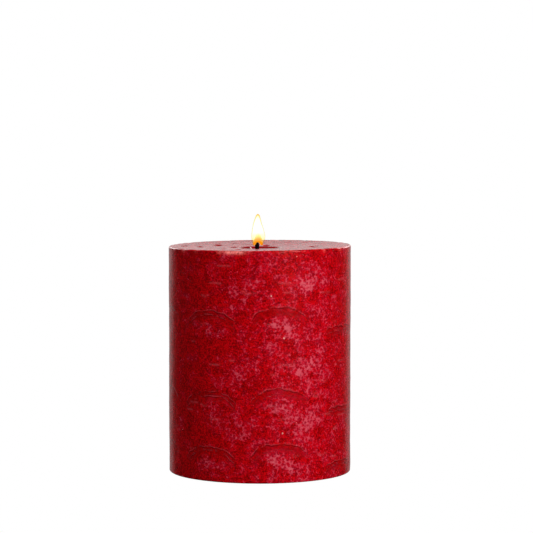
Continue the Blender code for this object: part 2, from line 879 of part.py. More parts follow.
def make_circuit_board():
    board = span(
        "circuit_board",
        (-BOARD.x / 2, -BOARD.y / 2, board_bottom),
        (BOARD.x / 2, BOARD.y / 2, board_top),
        "green_board",
        corner=1.5 * MM,
    )
    for index, (x, y) in enumerate(board_screw_places()):
        hole = rod(
            f"board_corner_hole_{index}",
            SMALL_SCREW[2] + GAP,
            (x, y, board_bottom - 1 * MM),
            (x, y, board_top + 1 * MM),
            steps=TINY_STEPS,
        )
        cut(board, hole)


def make_controller_chip():
    x, y = -BOARD.x / 6, BOARD.y / 6
    leg_lift = 0.4 * MM
    chip = span(
        "controller_chip",
        (x - CHIP.x / 2, y - CHIP.y / 2, part_z + leg_lift),
        (x + CHIP.x / 2, y + CHIP.y / 2, part_z + CHIP.z),
        "black_epoxy",
    )
    pitch = CHIP.x / CHIP_LEGS
    reach = 1.2 * MM
    for index in range(CHIP_LEGS):
        leg_x = x + (index + 0.5 - CHIP_LEGS / 2) * pitch
        leg = span(
            f"chip_leg_{index}",
            (leg_x - 0.2 * MM, y - CHIP.y / 2 - reach, part_z),
            (leg_x + 0.2 * MM, y + CHIP.y / 2 + reach, part_z + 2 * leg_lift),
        )
        join(chip, leg)


def make_capacitor():
    groove = 0.3 * MM
    neck = part_z + 1.2 * MM
    top = part_z + CAPACITOR_HEIGHT
    profile = [
        (0.0, top),
        (CAPACITOR_RADIUS - groove, top),
        (CAPACITOR_RADIUS, top - groove),
        (CAPACITOR_RADIUS, neck + groove),
        (CAPACITOR_RADIUS - groove, neck),
        (CAPACITOR_RADIUS, neck - groove),
        (CAPACITOR_RADIUS, part_z),
        (0.0, part_z),
    ]
    capacitor = turned("capacitor", profile, "capacitor_sleeve", steps=SMALL_STEPS)
    capacitor.location = (-BOARD.x / 4, -BOARD.y / 4, 0.0)


def make_resistor():
    x, y = BOARD.x / 16, -BOARD.y / 4
    lead_radius = 0.3 * MM
    height = part_z + RESISTOR_RADIUS + GAP
    half = RESISTOR_LENGTH / 2
    foot = half + 1.4 * MM
    route = [(x - foot, y, part_z), (x - foot, y, height), (x + foot, y, height), (x + foot, y, part_z)]
    lead = as_mesh(wire("resistor_lead", route, lead_radius))
    body = rod("resistor", RESISTOR_RADIUS, (x - half, y, height), (x + half, y, height), "tan_ceramic")
    join(body, lead)


def plug_place():
    return BOARD.x / 4, BOARD.y / 8


def make_lamp_plug():
    x, y = plug_place()
    span(
        "lamp_plug",
        (x - PLUG.x / 2, y - PLUG.y / 2, part_z),
        (x + PLUG.x / 2, y + PLUG.y / 2, part_z + PLUG.z),
        "white_plastic",
        corner=0.4 * MM,
    )


# ---------------------------------------------------------------- lamp column, wick and flame


def make_lamp_column():
    root = 1.5 * MM
    profile = [
        (COLUMN_BORE, column_top),
        (COLUMN_RADIUS, column_top),
        (COLUMN_RADIUS, flange_top + root),
        (COLUMN_RADIUS + root, flange_top),
        (FLANGE_RADIUS, flange_top),
        (FLANGE_RADIUS, flange_bottom),
        (COLUMN_BORE, flange_bottom),
    ]
    column = turned("lamp_column", profile, "white_plastic", steps=CELL_STEPS, ring=True)
    for index, (x, y) in enumerate(column_screw_places()):
        hole = rod(
            f"flange_hole_{index}",
            COLUMN_SCREW[2] + GAP,
            (x, y, flange_bottom - 1 * MM),
            (x, y, flange_top + 1 * MM),
            steps=TINY_STEPS,
        )
        cut(column, hole)


def make_wick_bush():
    """The stepped bush that stands in the column and carries the wick through the wax."""
    bore = WICK_RADIUS + GAP
    shoulder = column_top + GAP
    profile = [
        (bore, bush_top),
        (BUSH_RADIUS - 0.5 * MM, bush_top),
        (BUSH_RADIUS, bush_top - 0.5 * MM),
        (BUSH_RADIUS, shoulder),
        (COLUMN_BORE - GAP, shoulder),
        (COLUMN_BORE - GAP, spigot_bottom),
        (bore, spigot_bottom),
    ]
    turned("wick_bush", profile, "white_plastic", steps=SMALL_STEPS, ring=True)


def make_wick_tube():
    """The black wick: a thin tube with a rounded mouth, open at both ends."""
    crown = WICK_RADIUS - wick_bore
    profile = [
        (wick_bore, wick_top - 0.2 * MM),
        (wick_bore + crown * 0.5, wick_top),
        (WICK_RADIUS - crown * 0.1, wick_top - 0.2 * MM),
        (WICK_RADIUS, wick_top - 0.7 * MM),
        (WICK_RADIUS, spigot_bottom),
        (wick_bore, spigot_bottom),
    ]
    turned("wick_tube", profile, "black_wick", steps=SMALL_STEPS, ring=True)


def make_lamp_board():
    """The narrow board inside the wick, with the light source at its upper end."""
    back = -0.5 * MM
    span(
        "lamp_board",
        (-STICK_BOARD.x / 2, back, stick_bottom),
        (STICK_BOARD.x / 2, back + STICK_BOARD.y, stick_top),
        "green_board",
    )
    front = back + STICK_BOARD.y + 0.1 * MM
    size = Vector((0.8, 0.45, 0.9)) * MM
    span(
        "led_chip",
        (-size.x / 2, front, stick_top - size.z),
        (size.x / 2, front + size.y, stick_top),
        "led_phosphor",
    )


def guide_profile(radius, bottom, height, steps=4):
    """A pointed bullet: points from its tip down to its widest ring."""
    points = []
    for step in range(steps + 1):
        share = step / steps
        points.append((radius * math.sin(math.pi / 2 * share) ** 0.9, bottom + height * (1 - share**1.6)))
    points[0] = (0.0, points[0][1])
    return points


def make_light_guide():
    """The amber cone above the wick. Its stem stands in the wick's mouth, over the light source."""
    stem = wick_bore - GAP
    base = wick_top + GAP
    profile = guide_profile(GUIDE_RADIUS, base + 0.4 * MM, GUIDE_HEIGHT - 0.4 * MM)
    profile += [
        (GUIDE_RADIUS * 0.8, base),
        (stem, base),
        (stem, stick_top + GAP),
        (0.0, stick_top + GAP),
    ]
    turned("light_guide", profile, "amber_guide", steps=SMALL_STEPS)


def flame_radius(share):
    """Radius of the flame at a share of its height, from 0 at its lobes to 1 at its tip."""
    widest = 0.24
    if share < widest:
        return FLAME_RADIUS * (0.66 + 0.34 * math.sin(math.pi / 2 * share / widest))
    upper = (share - widest) / (1 - widest)
    return FLAME_RADIUS * ((1 - upper) * (1 + 0.55 * upper)) ** 0.92


def make_flame_lens():
    """The translucent flame: one soft moulding, hollow where it grips the light guide and the wick."""
    steps = 8
    bore = WICK_RADIUS + GAP
    profile = []
    for step in range(steps + 1):
        share = 1 - step / steps
        profile.append((flame_radius(share), flame_bottom + FLAME_HEIGHT * share))
    profile[0] = (0.0, profile[0][1])
    profile.insert(1, (0.45 * MM, flame_bottom + FLAME_HEIGHT - 0.25 * MM))
    profile.append((flame_radius(0) - 0.8 * MM, flame_bottom))
    profile += [(bore, flame_bottom + 0.8 * MM), (bore, wick_top - GAP)]
    room = guide_profile(GUIDE_RADIUS + GAP, wick_top + 0.4 * MM, GUIDE_HEIGHT + GAP)
    profile += [(GUIDE_RADIUS * 0.8 + GAP, wick_top - GAP), *reversed(room)]
    turned("flame_lens", profile, "flame_silicone", steps=SMALL_STEPS + 2)


# ---------------------------------------------------------------- wires


def make_wires():
    tab_top = tub_roof + CONTACT_TAB_HEIGHT + GAP + WIRE_RADIUS
    landing = part_z + WIRE_RADIUS
    pad_x = BOARD.x / 2 - 2 * MM
    bend = 4.0 * MM
    for name, y, colour in (
        ("battery_wire_positive", cell_y, "red_wire"),
        ("battery_wire_negative", -cell_y, "black_wire"),
    ):
        pad_y = math.copysign(BOARD.y / 6, y)
        stops = [
            (sheet_x, y, tab_top),
            (sheet_x, y * 0.98, tab_top + bend * 0.7),
            ((sheet_x + pad_x) / 2, (y + pad_y) / 2, landing + bend),
            (pad_x, pad_y, landing + bend * 0.6),
            (pad_x, pad_y, landing),
        ]
        wire(name, smooth_route(stops, 3), WIRE_RADIUS, colour)

    switch_top = plate_top + GAP + SWITCH_BODY.z + GAP
    for name, offset, colour in (
        ("switch_wire_common", 0.0, "red_wire"),
        ("switch_wire_on", 1.0, "yellow_wire"),
        ("switch_wire_timer", -1.0, "black_wire"),
    ):
        x = offset * 2.5 * MM
        pad_x = offset * 4.0 * MM
        edge_y = -BOARD.y / 2 + 2 * MM
        stops = [
            (x, switch_y, switch_top),
            (x, switch_y, switch_top + bend),
            (x, switch_y - 1.0 * MM, (switch_top + tub_roof) / 2),
            (pad_x, switch_y + bend * 0.5, tub_roof + bend * 0.5),
            (pad_x, (switch_y + edge_y) / 2, landing + bend),
            (pad_x, edge_y, landing + bend * 0.6),
            (pad_x, edge_y, landing),
        ]
        wire(name, smooth_route(stops, 2), WIRE_RADIUS, colour)

    plug_x, plug_y = plug_place()
    plug_top = part_z + PLUG.z + GAP
    lamp_end = stick_bottom - GAP
    for name, side, colour in (("lamp_wire_positive", 1, "red_wire"), ("lamp_wire_negative", -1, "black_wire")):
        across = side * 1.1 * MM
        stops = [
            (plug_x, plug_y + across, plug_top),
            (plug_x - 0.6 * MM, plug_y + across, plug_top + 2.2 * MM),
            (plug_x * 0.5, plug_y * 0.5 + across, (plug_top + deck_bottom) / 2 + 1.0 * MM),
            (0.8 * MM, across, deck_bottom - 0.5 * MM),
            (0.0, across, flange_top + bend),
            (0.0, across, (flange_top + lamp_end) / 2),
            (0.0, side * 0.8 * MM, lamp_end),
        ]
        wire(name, smooth_route(stops, 2), WIRE_RADIUS, colour)


# ---------------------------------------------------------------- the whole candle

clear_scene()
parts = new_collection("pillar_candle")
cutters = new_collection("cutters")

make_wax_shell()
make_base_housing()
make_battery_door()
make_power()
make_switch()
make_core_cover()
make_circuit_board()
make_controller_chip()
make_capacitor()
make_resistor()
make_lamp_plug()
make_lamp_column()
make_screws()
make_wick_bush()
make_wick_tube()
make_lamp_board()
make_light_guide()
make_flame_lens()
make_wires()
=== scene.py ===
# %% [markdown]
# # A flameless pillar candle
#
# The candle is a real wax shell over a battery housing. What anyone sees is the wax: deep red, mottled
# with pale frosting, a little worn at its rim, with a shallow dish on top, a black wick and a lit flame.
# The frame already holds every piece at its right size. This lesson keeps the pieces that are the right
# shape and gives them their finish. It remodels the ones that carry the look: the wax, the wick with the
# lamp inside it, and the two parts of the flame.

import math
import random

import bpy
import numpy as np
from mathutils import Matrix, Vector, noise


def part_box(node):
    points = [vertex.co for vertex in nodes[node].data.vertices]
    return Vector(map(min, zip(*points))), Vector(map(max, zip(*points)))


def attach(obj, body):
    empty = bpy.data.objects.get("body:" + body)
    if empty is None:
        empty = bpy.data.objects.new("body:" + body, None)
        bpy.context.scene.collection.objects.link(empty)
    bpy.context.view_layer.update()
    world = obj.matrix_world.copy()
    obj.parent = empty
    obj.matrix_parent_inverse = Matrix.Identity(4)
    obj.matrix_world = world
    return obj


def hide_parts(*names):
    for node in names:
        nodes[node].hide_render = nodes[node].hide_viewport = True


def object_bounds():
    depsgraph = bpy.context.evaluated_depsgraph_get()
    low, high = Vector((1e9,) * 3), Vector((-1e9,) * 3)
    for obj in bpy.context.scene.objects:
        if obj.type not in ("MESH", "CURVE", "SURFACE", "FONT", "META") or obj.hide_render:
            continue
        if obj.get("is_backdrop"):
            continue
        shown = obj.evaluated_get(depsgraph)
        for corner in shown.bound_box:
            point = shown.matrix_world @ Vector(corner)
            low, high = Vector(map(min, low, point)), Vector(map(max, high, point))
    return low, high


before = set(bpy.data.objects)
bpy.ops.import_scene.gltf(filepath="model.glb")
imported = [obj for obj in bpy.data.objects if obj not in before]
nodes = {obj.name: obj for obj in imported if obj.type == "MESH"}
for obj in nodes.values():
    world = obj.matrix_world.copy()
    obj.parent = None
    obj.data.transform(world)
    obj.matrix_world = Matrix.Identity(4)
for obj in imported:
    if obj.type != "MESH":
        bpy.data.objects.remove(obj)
cad_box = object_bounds()
print(f"{len(nodes)} CAD pieces, {(cad_box[1].z - cad_box[0].z) * 1000:.1f} mm tall")

# %% [markdown]
# ## Units, colours and one node helper
#
# Lengths are written in millimetres and turned to metres, as on a drawing. Colours are written as sRGB
# hex, which is what a screen shows, and Blender's sockets want linear light, so one function converts
# them. A material is a small graph, and one function adds any node with its settings and its links.

# %% Millimetres, and colours in linear light
MM = 0.001


def linear(hex_colour, alpha=1.0):
    """An sRGB colour such as #c80012 as the linear values that shaders work in."""
    parts = [int(hex_colour[i : i + 2], 16) / 255 for i in (1, 3, 5)]
    return (*[p / 12.92 if p <= 0.04045 else ((p + 0.055) / 1.055) ** 2.4 for p in parts], alpha)


print("mid grey is", [round(v, 3) for v in linear("#808080")])


# %% One function that adds a node
def add(tree, kind, settings=None, **inputs):
    """Adds a node. Settings are its options. Inputs go by name, or by number as i0, i1 and so on."""
    node = tree.nodes.new("ShaderNode" + kind)
    for name, value in (settings or {}).items():
        setattr(node, name, value)
    for name, value in inputs.items():
        by_number = name[0] == "i" and name[1:].isdigit()
        socket = node.inputs[int(name[1:]) if by_number else name.replace("_", " ")]
        if isinstance(value, bpy.types.NodeSocket):
            tree.links.new(value, socket)
        else:
            socket.default_value = value
    return node


def new_material(name, **shader_inputs):
    """A material with its Principled shader set: returns the material, its tree and the shader."""
    material = bpy.data.materials.new(name)
    material.use_nodes = True
    tree = material.node_tree
    shader = tree.nodes["Principled BSDF"]
    for key, value in shader_inputs.items():
        shader.inputs[key.replace("_", " ")].default_value = value
    return material, tree, shader


# %% [markdown]
# ## Camera
#
# A product picture is taken from far away with a long lens, so that upright sides stay nearly parallel.
# Here that is about 1.3 m away with a 161 mm lens, from a little above the candle. The lens is shifted
# rather than tilted further to place the candle below the middle of the frame.

# %% The camera
CAMERA_DISTANCE = 1332.6 * MM
CAMERA_HEIGHT = 208.3 * MM
CAMERA_DOWN = 4.60  # degrees
camera_data = bpy.data.cameras.new("camera")
camera_data.lens = 161.1
camera_data.sensor_width = 36.0
camera_data.shift_x = 0.0126
camera_data.shift_y = 0.0455
camera_data.clip_start = 0.05
camera = bpy.data.objects.new("camera", camera_data)
camera.location = (0.0, -CAMERA_DISTANCE, CAMERA_HEIGHT)
camera.rotation_euler = (math.radians(90 - CAMERA_DOWN), 0.0, 0.0)
bpy.context.scene.collection.objects.link(camera)
bpy.context.scene.camera = camera
bpy.context.scene.view_settings.view_transform = "Standard"
print(f"camera {CAMERA_DISTANCE:.2f} m in front of the candle")

# %% [markdown]
# ## Studio
#
# The light is a plain studio: a key softbox to the right of the camera, a small fill at the far left, a
# soft lamp overhead and two behind, and a pale wall at the back. The wall gives the wax the pale sheen
# along its two edges and across its top, because a smooth surface mirrors more the flatter one looks
# along it. Everything else is dark, so the red stays deep. The key, the fill and the overhead lamp aren't
# mirrored in the wax, and one small lamp beside the key gives it its sparkle. The floor is plain white.

# %% Softboxes
CANDLE_MIDDLE = Vector((0.0, 0.0, 64.0)) * MM


def softbox(name, turn, rise, distance, size, power, tint="#ffffff"):
    """A square area light aimed at the candle. Turn is degrees to the camera's right, rise above level."""
    data = bpy.data.lights.new(name, "AREA")
    data.shape = "SQUARE"
    data.size = size
    data.energy = power
    data.color = linear(tint)[:3]
    lamp = bpy.data.objects.new(name, data)
    turn, rise = math.radians(turn), math.radians(rise)
    away = Vector((math.sin(turn) * math.cos(rise), -math.cos(turn) * math.cos(rise), math.sin(rise)))
    lamp.location = CANDLE_MIDDLE + away * distance
    lamp.rotation_euler = away.to_track_quat("Z", "Y").to_euler()
    bpy.context.scene.collection.objects.link(lamp)
    return lamp


key = softbox("key_softbox", turn=35, rise=24, distance=1.1, size=0.5, power=11.5, tint="#fffaf4")
softbox("glint_lamp", turn=42, rise=20, distance=1.1, size=0.16, power=1.1)
fill = softbox("fill_softbox", turn=-94, rise=8, distance=1.3, size=0.2, power=6.0, tint="#fff6f6")
overhead = softbox("overhead_softbox", turn=10, rise=86, distance=1.3, size=0.8, power=5.0)
softbox("rear_left_softbox", turn=-150, rise=22, distance=1.5, size=0.7, power=5.0)
softbox("rear_right_softbox", turn=146, rise=22, distance=1.5, size=0.7, power=6.0)
for lamp in (key, fill, overhead):
    lamp.visible_glossy = False
print("six lamps")

# %% The wall behind and the white background
world = bpy.data.worlds.new("studio")
bpy.context.scene.world = world
world.use_nodes = True
tree = world.node_tree
tree.nodes.clear()
direction = add(tree, "TexCoord").outputs["Generated"]
split = add(tree, "SeparateXYZ", Vector=direction)
WALL_LEVEL = 0.95
FLOOR_LEVEL = 0.36
DARK_LEVEL = 0.015
SMOOTH = {"interpolation_type": "SMOOTHSTEP"}
behind = add(tree, "MapRange", SMOOTH, Value=split.outputs["Y"], From_Min=0.74, From_Max=0.93)
below_top = add(tree, "MapRange", SMOOTH, Value=split.outputs["Z"], From_Min=0.42, From_Max=0.18)
above_floor = add(tree, "MapRange", SMOOTH, Value=split.outputs["Z"], From_Min=-0.1, From_Max=0.08,
                  To_Min=FLOOR_LEVEL, To_Max=WALL_LEVEL)
wall = add(tree, "Math", {"operation": "MULTIPLY"}, i0=behind.outputs[0], i1=below_top.outputs[0])
level = add(tree, "MapRange", Value=wall.outputs[0], To_Min=DARK_LEVEL, To_Max=above_floor.outputs[0])
seen = add(tree, "LightPath").outputs["Is Camera Ray"]
studio_light = add(tree, "Background", Color=linear("#ffffff"), Strength=level.outputs[0])
white_paper = add(tree, "Background", Color=linear("#ffffff"), Strength=1.0)
either = add(tree, "MixShader", Fac=seen, i1=studio_light.outputs[0], i2=white_paper.outputs[0])
tree.links.new(either.outputs[0], add(tree, "OutputWorld").inputs["Surface"])
print("wall level", WALL_LEVEL)

# %% The floor
floor_mesh = bpy.data.meshes.new("floor")
REACH = 3.0
floor_mesh.from_pydata(
    [(-REACH, -REACH, 0), (REACH, -REACH, 0), (REACH, REACH, 0), (-REACH, REACH, 0)], [], [(0, 1, 2, 3)]
)
floor = bpy.data.objects.new("floor", floor_mesh)
bpy.context.scene.collection.objects.link(floor)
floor.location.z = -0.3 * MM
paper, tree, shader = new_material("white_paper", Base_Color=(0, 0, 0, 1), Specular_IOR_Level=0.0)
shader.inputs["Emission Color"].default_value = linear("#ffffff")
shader.inputs["Emission Strength"].default_value = 1.0
floor_mesh.materials.append(paper)
floor.visible_diffuse = False
floor.visible_glossy = False
floor.visible_shadow = False
floor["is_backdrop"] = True
print("floor", 2 * REACH, "m square")

# %% [markdown]
# ## The wax shell
#
# Rustic pillar candles are cast cool: the wax sets against the mould in laps before the next pour covers
# it. That leaves rows of curved cold laps on the side, like overlapping scales, with a smooth dark skin
# just under each lap and pale frosting below and between them. The rim is rounded and a little chipped.
#
# The shape is a turned outline with many steps, moved in and out by noise and by the laps. Nodes alone
# could fake the relief, but the outline and the rim would stay perfect circles, which reads as plastic.

# %% The outline of the wax
wax_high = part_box("wax_shell")[1]
RADIUS = wax_high.x
HEIGHT = wax_high.z
RIM_ROUND = 0.9 * MM
FOOT_ROUND = 0.6 * MM
DISH_DEPTH = 1.5 * MM
POOL_RADIUS = 12.5 * MM
POOL_DEPTH = 0.85 * MM
POOL_LIP = 3.0 * MM
HOLE_RADIUS = 1.5 * MM
CAVITY_RADIUS = 44.8 * MM
CAVITY_TOP = 115.65 * MM
CAVITY_DRAFT = 1.0 * MM
BUSH_ROOM = (4.4 * MM, 121.35 * MM)  # radius and top of the room for the wick's bush
SIDE_RINGS = 146


def smooth(low, high, value):
    """0 below low, 1 above high and an S curve between them. Works on numbers and arrays."""
    share = np.clip((value - low) / (high - low), 0.0, 1.0)
    return share * share * (3 - 2 * share)


def top_height(radius):
    """Height of the dished top at a distance from the axis, with the smooth pool round the wick."""
    share = np.minimum(radius / (RADIUS - RIM_ROUND), 1.0)
    return HEIGHT - DISH_DEPTH * (1 - share**2) - POOL_DEPTH * smooth(0.0, POOL_LIP, POOL_RADIUS - radius)


def turned_outline():
    """(radius, height) points from the wick's hole over the top, down the side and up the cavity."""
    edge = RADIUS - RIM_ROUND
    radii = np.concatenate([np.linspace(HOLE_RADIUS, 8.6 * MM, 9), np.linspace(9.2 * MM, 13.2 * MM, 9)])
    radii = np.concatenate([radii, np.linspace(14 * MM, edge, 44)])
    points = [(r, float(top_height(r))) for r in radii]
    for turn in np.linspace(0, 90, 6)[1:]:
        a = math.radians(90 - turn)
        points.append((edge + RIM_ROUND * math.cos(a), HEIGHT - RIM_ROUND + RIM_ROUND * math.sin(a)))
    side_top, side_foot = HEIGHT - RIM_ROUND - 0.5 * MM, FOOT_ROUND + 0.5 * MM
    points += [(RADIUS, z) for z in np.linspace(side_top, side_foot, SIDE_RINGS)]
    for turn in np.linspace(0, 90, 4):
        a = math.radians(-turn)
        points.append((RADIUS - FOOT_ROUND + FOOT_ROUND * math.cos(a), FOOT_ROUND + FOOT_ROUND * math.sin(a)))
    points += [(r, 0.0) for r in np.linspace(RADIUS - FOOT_ROUND - 1.2 * MM, CAVITY_RADIUS, 4)]
    narrow = CAVITY_RADIUS - CAVITY_DRAFT
    points += [(narrow, CAVITY_TOP), (BUSH_ROOM[0], CAVITY_TOP), BUSH_ROOM, (HOLE_RADIUS, BUSH_ROOM[1])]
    return np.array(points)


outline = turned_outline()
print(len(outline), "points on the outline")

# %% Spin the outline into a grid of points
AROUND = 436
angles = np.arange(AROUND) * 2 * math.pi / AROUND  # from the front, towards the right
ring_radius = np.repeat(outline[:, 0], AROUND)
ring_height = np.repeat(outline[:, 1], AROUND)
ring_angle = np.tile(angles, len(outline))
spun = np.stack([ring_radius * np.sin(ring_angle), -ring_radius * np.cos(ring_angle), ring_height], axis=1)
in_cavity = (ring_radius < CAVITY_RADIUS + 0.1 * MM) & (ring_height < BUSH_ROOM[1] + 0.1 * MM)
outside = ~in_cavity & (ring_height > 0) & (ring_radius > HOLE_RADIUS + 0.2 * MM)
on_side = outside & (ring_radius > RADIUS - 0.01 * MM)
on_top = outside & (ring_height > HEIGHT - 3.5 * MM) & (ring_radius < RADIUS - 0.2 * MM)
print(f"{len(spun)} points, {2 * math.pi * RADIUS / AROUND / MM:.2f} mm apart round the side")

# %% [markdown]
# ### Cold laps
#
# Eight laps stand side by side in each row, and the rows sit at three heights. Each lap is an arch about
# 28 mm wide: a thin crease painted dark as shade in its groove, its lip above painted paler as a
# highlight, a band of smooth skin just under it, and a patch of frosting lower down. Another patch sits
# above the gap between two laps. The laps at the front have their own values, and the rest are drawn by
# seeded chance from the same ranges.
#
# Four things are worked out for every point of the side: the crease, the smooth skin, the frosting with
# its painted sheen and the distance to the nearest crease. The first two also move the mesh. The last
# lets the material draw the crease's painted shade and its lip's painted highlight much finer than the
# mesh could.

# %% One lap's character
ROWS = [96.0 * MM, 51.5 * MM, 21.5 * MM]
LAPS_ROUND = 8
FIRST_LAP = 13.0  # degrees to the right of the front
lap_luck = random.Random(41)


def chance_lap(turn):
    """A lap's values: its turn in degrees, and the rest in millimetres or as shares of the strongest."""
    return {
        "turn": turn + lap_luck.uniform(-3, 3),
        "left": lap_luck.uniform(12, 16),
        "right": lap_luck.uniform(12, 16),
        "sag": lap_luck.uniform(4.2, 6.5),
        "lift": lap_luck.uniform(-2.5, 1.0),
        "crease": lap_luck.uniform(0.55, 1.0),
        "folds": lap_luck.choice((0, 1, 2)),
        "frost": lap_luck.uniform(0.3, 1.0),
        "above": lap_luck.uniform(0.3, 1.0),
    }


laps = [chance_lap(FIRST_LAP + lap * 360 / LAPS_ROUND) for lap in range(LAPS_ROUND)]
laps[0].update(turn=13.0, left=15.5, right=14.5, sag=5.6, lift=0.0, crease=0.9, folds=0, frost=1.0, above=1.0)
laps[1].update(turn=59.0, left=11.0, right=16.0, sag=1.2, lift=-12.5, crease=0.8, folds=1)
laps[1].update(frost=0.2, above=0.3)
laps[-1].update(turn=-31.0, left=17.0, right=13.0, sag=5.4, lift=-2.4, crease=0.8, folds=1)
laps[-1].update(frost=0.8, above=0.5)
print(LAPS_ROUND * len(ROWS), "laps")


# %% Creases, lips, skin and frosting from the laps
FAR = 3 * MM  # no mark reaches this far from its crease
SHEEN_SIDE = 28.0  # degrees to the right of the front, towards the key light, where frost is painted strongest as sheen, as at the back


def ridge(distance, width):
    """1 on a line and 0 away from it."""
    return np.exp(-((distance / width) ** 2))


def around_from(turn, angle):
    """How far round the side each angle is from a turn in degrees, in metres, to the right."""
    return (np.mod(angle - math.radians(turn) + math.pi, 2 * math.pi) - math.pi) * RADIUS


def lap_marks(angle, height, wander):
    """Crease, skin, and frosted pink with its painted sheen, each from 0 to 1, and the distance to the
    nearest crease. Wander shakes the lines.
    """
    marks = {name: np.zeros_like(angle) for name in ("crease", "skin", "frost")}
    marks["distance"] = np.full_like(angle, FAR)
    for lap in laps:
        across = around_from(lap["turn"], angle) + wander[0]
        half = np.where(across < 0, lap["left"], lap["right"]) * MM
        share = np.abs(across) / half
        near = smooth(1.12, 0.85, share)
        for row in ROWS:
            up = height - row - lap["lift"] * MM + wander[1]
            steepness = 2.4 * lap["sag"] * MM * share**1.4 / half
            off = (up + lap["sag"] * MM * share**2.4) / np.sqrt(1 + steepness**2)
            lines = [(off, lap["crease"])]
            lines += [(off + (2.3 + 1.9 * fold) * MM, 0.65 * lap["crease"]) for fold in range(lap["folds"])]
            for line, depth in lines:
                shown = np.where(near > 0.02, line / np.maximum(near, 0.02) ** 0.5 / depth, FAR)
                nearer = np.abs(shown) < np.abs(marks["distance"])
                marks["distance"][nearer] = shown[nearer]
                marks["crease"] += depth * near * ridge(line, 0.5 * MM)
            marks["skin"] += near * smooth(-5.2 * MM, -2.5 * MM, off) * smooth(0.6 * MM, -0.2 * MM, off)
            slant = up + 10.5 * MM + 0.3 * across
            marks["frost"] += lap["frost"] * np.exp(-((across / (10 * MM)) ** 2) - (slant / (4.2 * MM)) ** 2)
            gap = across - math.radians(150 / LAPS_ROUND) * RADIUS
            slant = up - 12.5 * MM - 0.35 * gap
            marks["frost"] += lap["above"] * np.exp(-((gap / (8 * MM)) ** 2) - (slant / (5.5 * MM)) ** 2)
            gap = across + math.radians(210 / LAPS_ROUND) * RADIUS
            slant = up - 5 * MM
            marks["frost"] += 0.4 * lap["above"] * np.exp(-((gap / (7 * MM)) ** 2) - (slant / (6 * MM)) ** 2)
    distance = np.clip(marks.pop("distance"), -FAR, FAR)
    marks = {name: np.clip(field, 0, 1) for name, field in marks.items()}
    # Painted sheen: frost is made stronger towards the key light and at the back, weaker at the sides
    marks["frost"] += 0.33 * np.cos(2 * (angle - math.radians(SHEEN_SIDE))) - 0.18
    return marks | {"distance": distance}


def noise_field(points, size, octaves=3, seed=0.0):
    """Fractal noise, about -1 to 1, with lumps of the given size in metres."""
    shift = Vector((seed, 2.7 * seed, 5.1 * seed))
    return np.array([noise.fractal(Vector(p) / size + shift, 1.0, 2.0, octaves) for p in points])


def outside_noise(size, octaves, seed, squash=(1.0, 1.0, 1.0)):
    """Noise on the points that show, and 0 on the rest."""
    field = np.zeros(len(spun))
    field[outside] = noise_field(spun[outside] * np.array(squash), size, octaves, seed)
    return field


wander = [outside_noise(7 * MM, 2, 21.0) * 1.1 * MM, outside_noise(5 * MM, 3, 33.0) * 1.15 * MM]
marks = lap_marks(ring_angle, ring_height, wander)
print("creases cover", f"{100 * (marks['crease'][on_side] > 0.5).mean():.1f} % of the side")


# %% Ledges: short level marks where the wax slipped as it set
def ledge_marks(angle, height, count, seed):
    luck = random.Random(seed)
    ledges = np.zeros_like(angle)
    places = [(luck.uniform(0, 360), luck.uniform(8, 120), luck.uniform(1.5, 5.0)) for _ in range(count)]
    for row in ROWS:
        for lap in laps:
            places.append((lap["turn"] + 2.5, row / MM + 13.2, 4.5))
            places.append((lap["turn"] - 6, row / MM - 9.5, 3.0))
    for turn, level, half in places:
        across = around_from(turn, angle)
        near = smooth(1.0, 0.6, np.abs(across) / (half * MM))
        ledges += near * ridge(height - level * MM, 0.36 * MM)
    return np.clip(ledges, 0, 1)


ledges = ledge_marks(ring_angle, ring_height + wander[1] * 0.7, count=70, seed=7)
print("ledges cover", f"{100 * (ledges[on_side] > 0.5).mean():.1f} % of the side")

# %% [markdown]
# ### Waves, chips, pits and the tilt
#
# Broad waves keep the side from mirroring light like a machined tube. Chips are small bites out of the
# rim, and one longer worn place sits at the front, left of the wick, painted pale as a highlight on the
# near lip.
# The top slopes by a little under a millimetre, as a hand-poured top does, and it has a few pits where
# air came out, painted dark as shade in the hollows. One crumb of wax lies in the pool beside the wick,
# painted pale as a glint.

# %% Noise on every point
broad_waves = outside_noise(26 * MM, 2, 1.0)
small_waves = outside_noise(5.5 * MM, 3, 4.0)
print(f"waves from {broad_waves.min():.2f} to {broad_waves.max():.2f}")


# %% Chips along the rim, and the worn place at the front with its painted highlight
def rim_wear(angle, count=26, seed=19):
    """How deep the chips in the rim are, in metres, and how strongly the wear is painted as a highlight, at
    each angle.
    """
    luck = random.Random(seed)
    depth, wear_highlight = np.zeros_like(angle), np.zeros_like(angle)
    bites = [(luck.uniform(30, 330), luck.uniform(0.8, 2.0), luck.uniform(0.08, 0.22)) for _ in range(count)]
    bites += [(-19.0, 3.4, 0.45), (-12.5, 3.2, 0.42), (-25.5, 1.6, 0.2), (-5.5, 1.6, 0.12), (15.0, 1.6, 0.12)]
    for turn, half, deep in bites:
        away = np.mod(np.degrees(angle) - turn + 180, 360) - 180
        bite = np.exp(-((away / half) ** 2))
        depth += deep * MM * bite
        # Painted highlight: the deeper a bite, the paler it is painted, so the worn front shows brightest
        wear_highlight += smooth(0.06, 0.42, deep) * bite
    return depth, np.clip(wear_highlight, 0, 1)


rim_depth, rim_wear_highlight = rim_wear(ring_angle)
from_top = HEIGHT - ring_height
near_rim = smooth(2.7 * MM, 0.4 * MM, from_top) * smooth(RADIUS - 2.5 * MM, RADIUS - 0.4 * MM, ring_radius)
print(f"deepest chip {rim_depth.max() / MM:.2f} mm")


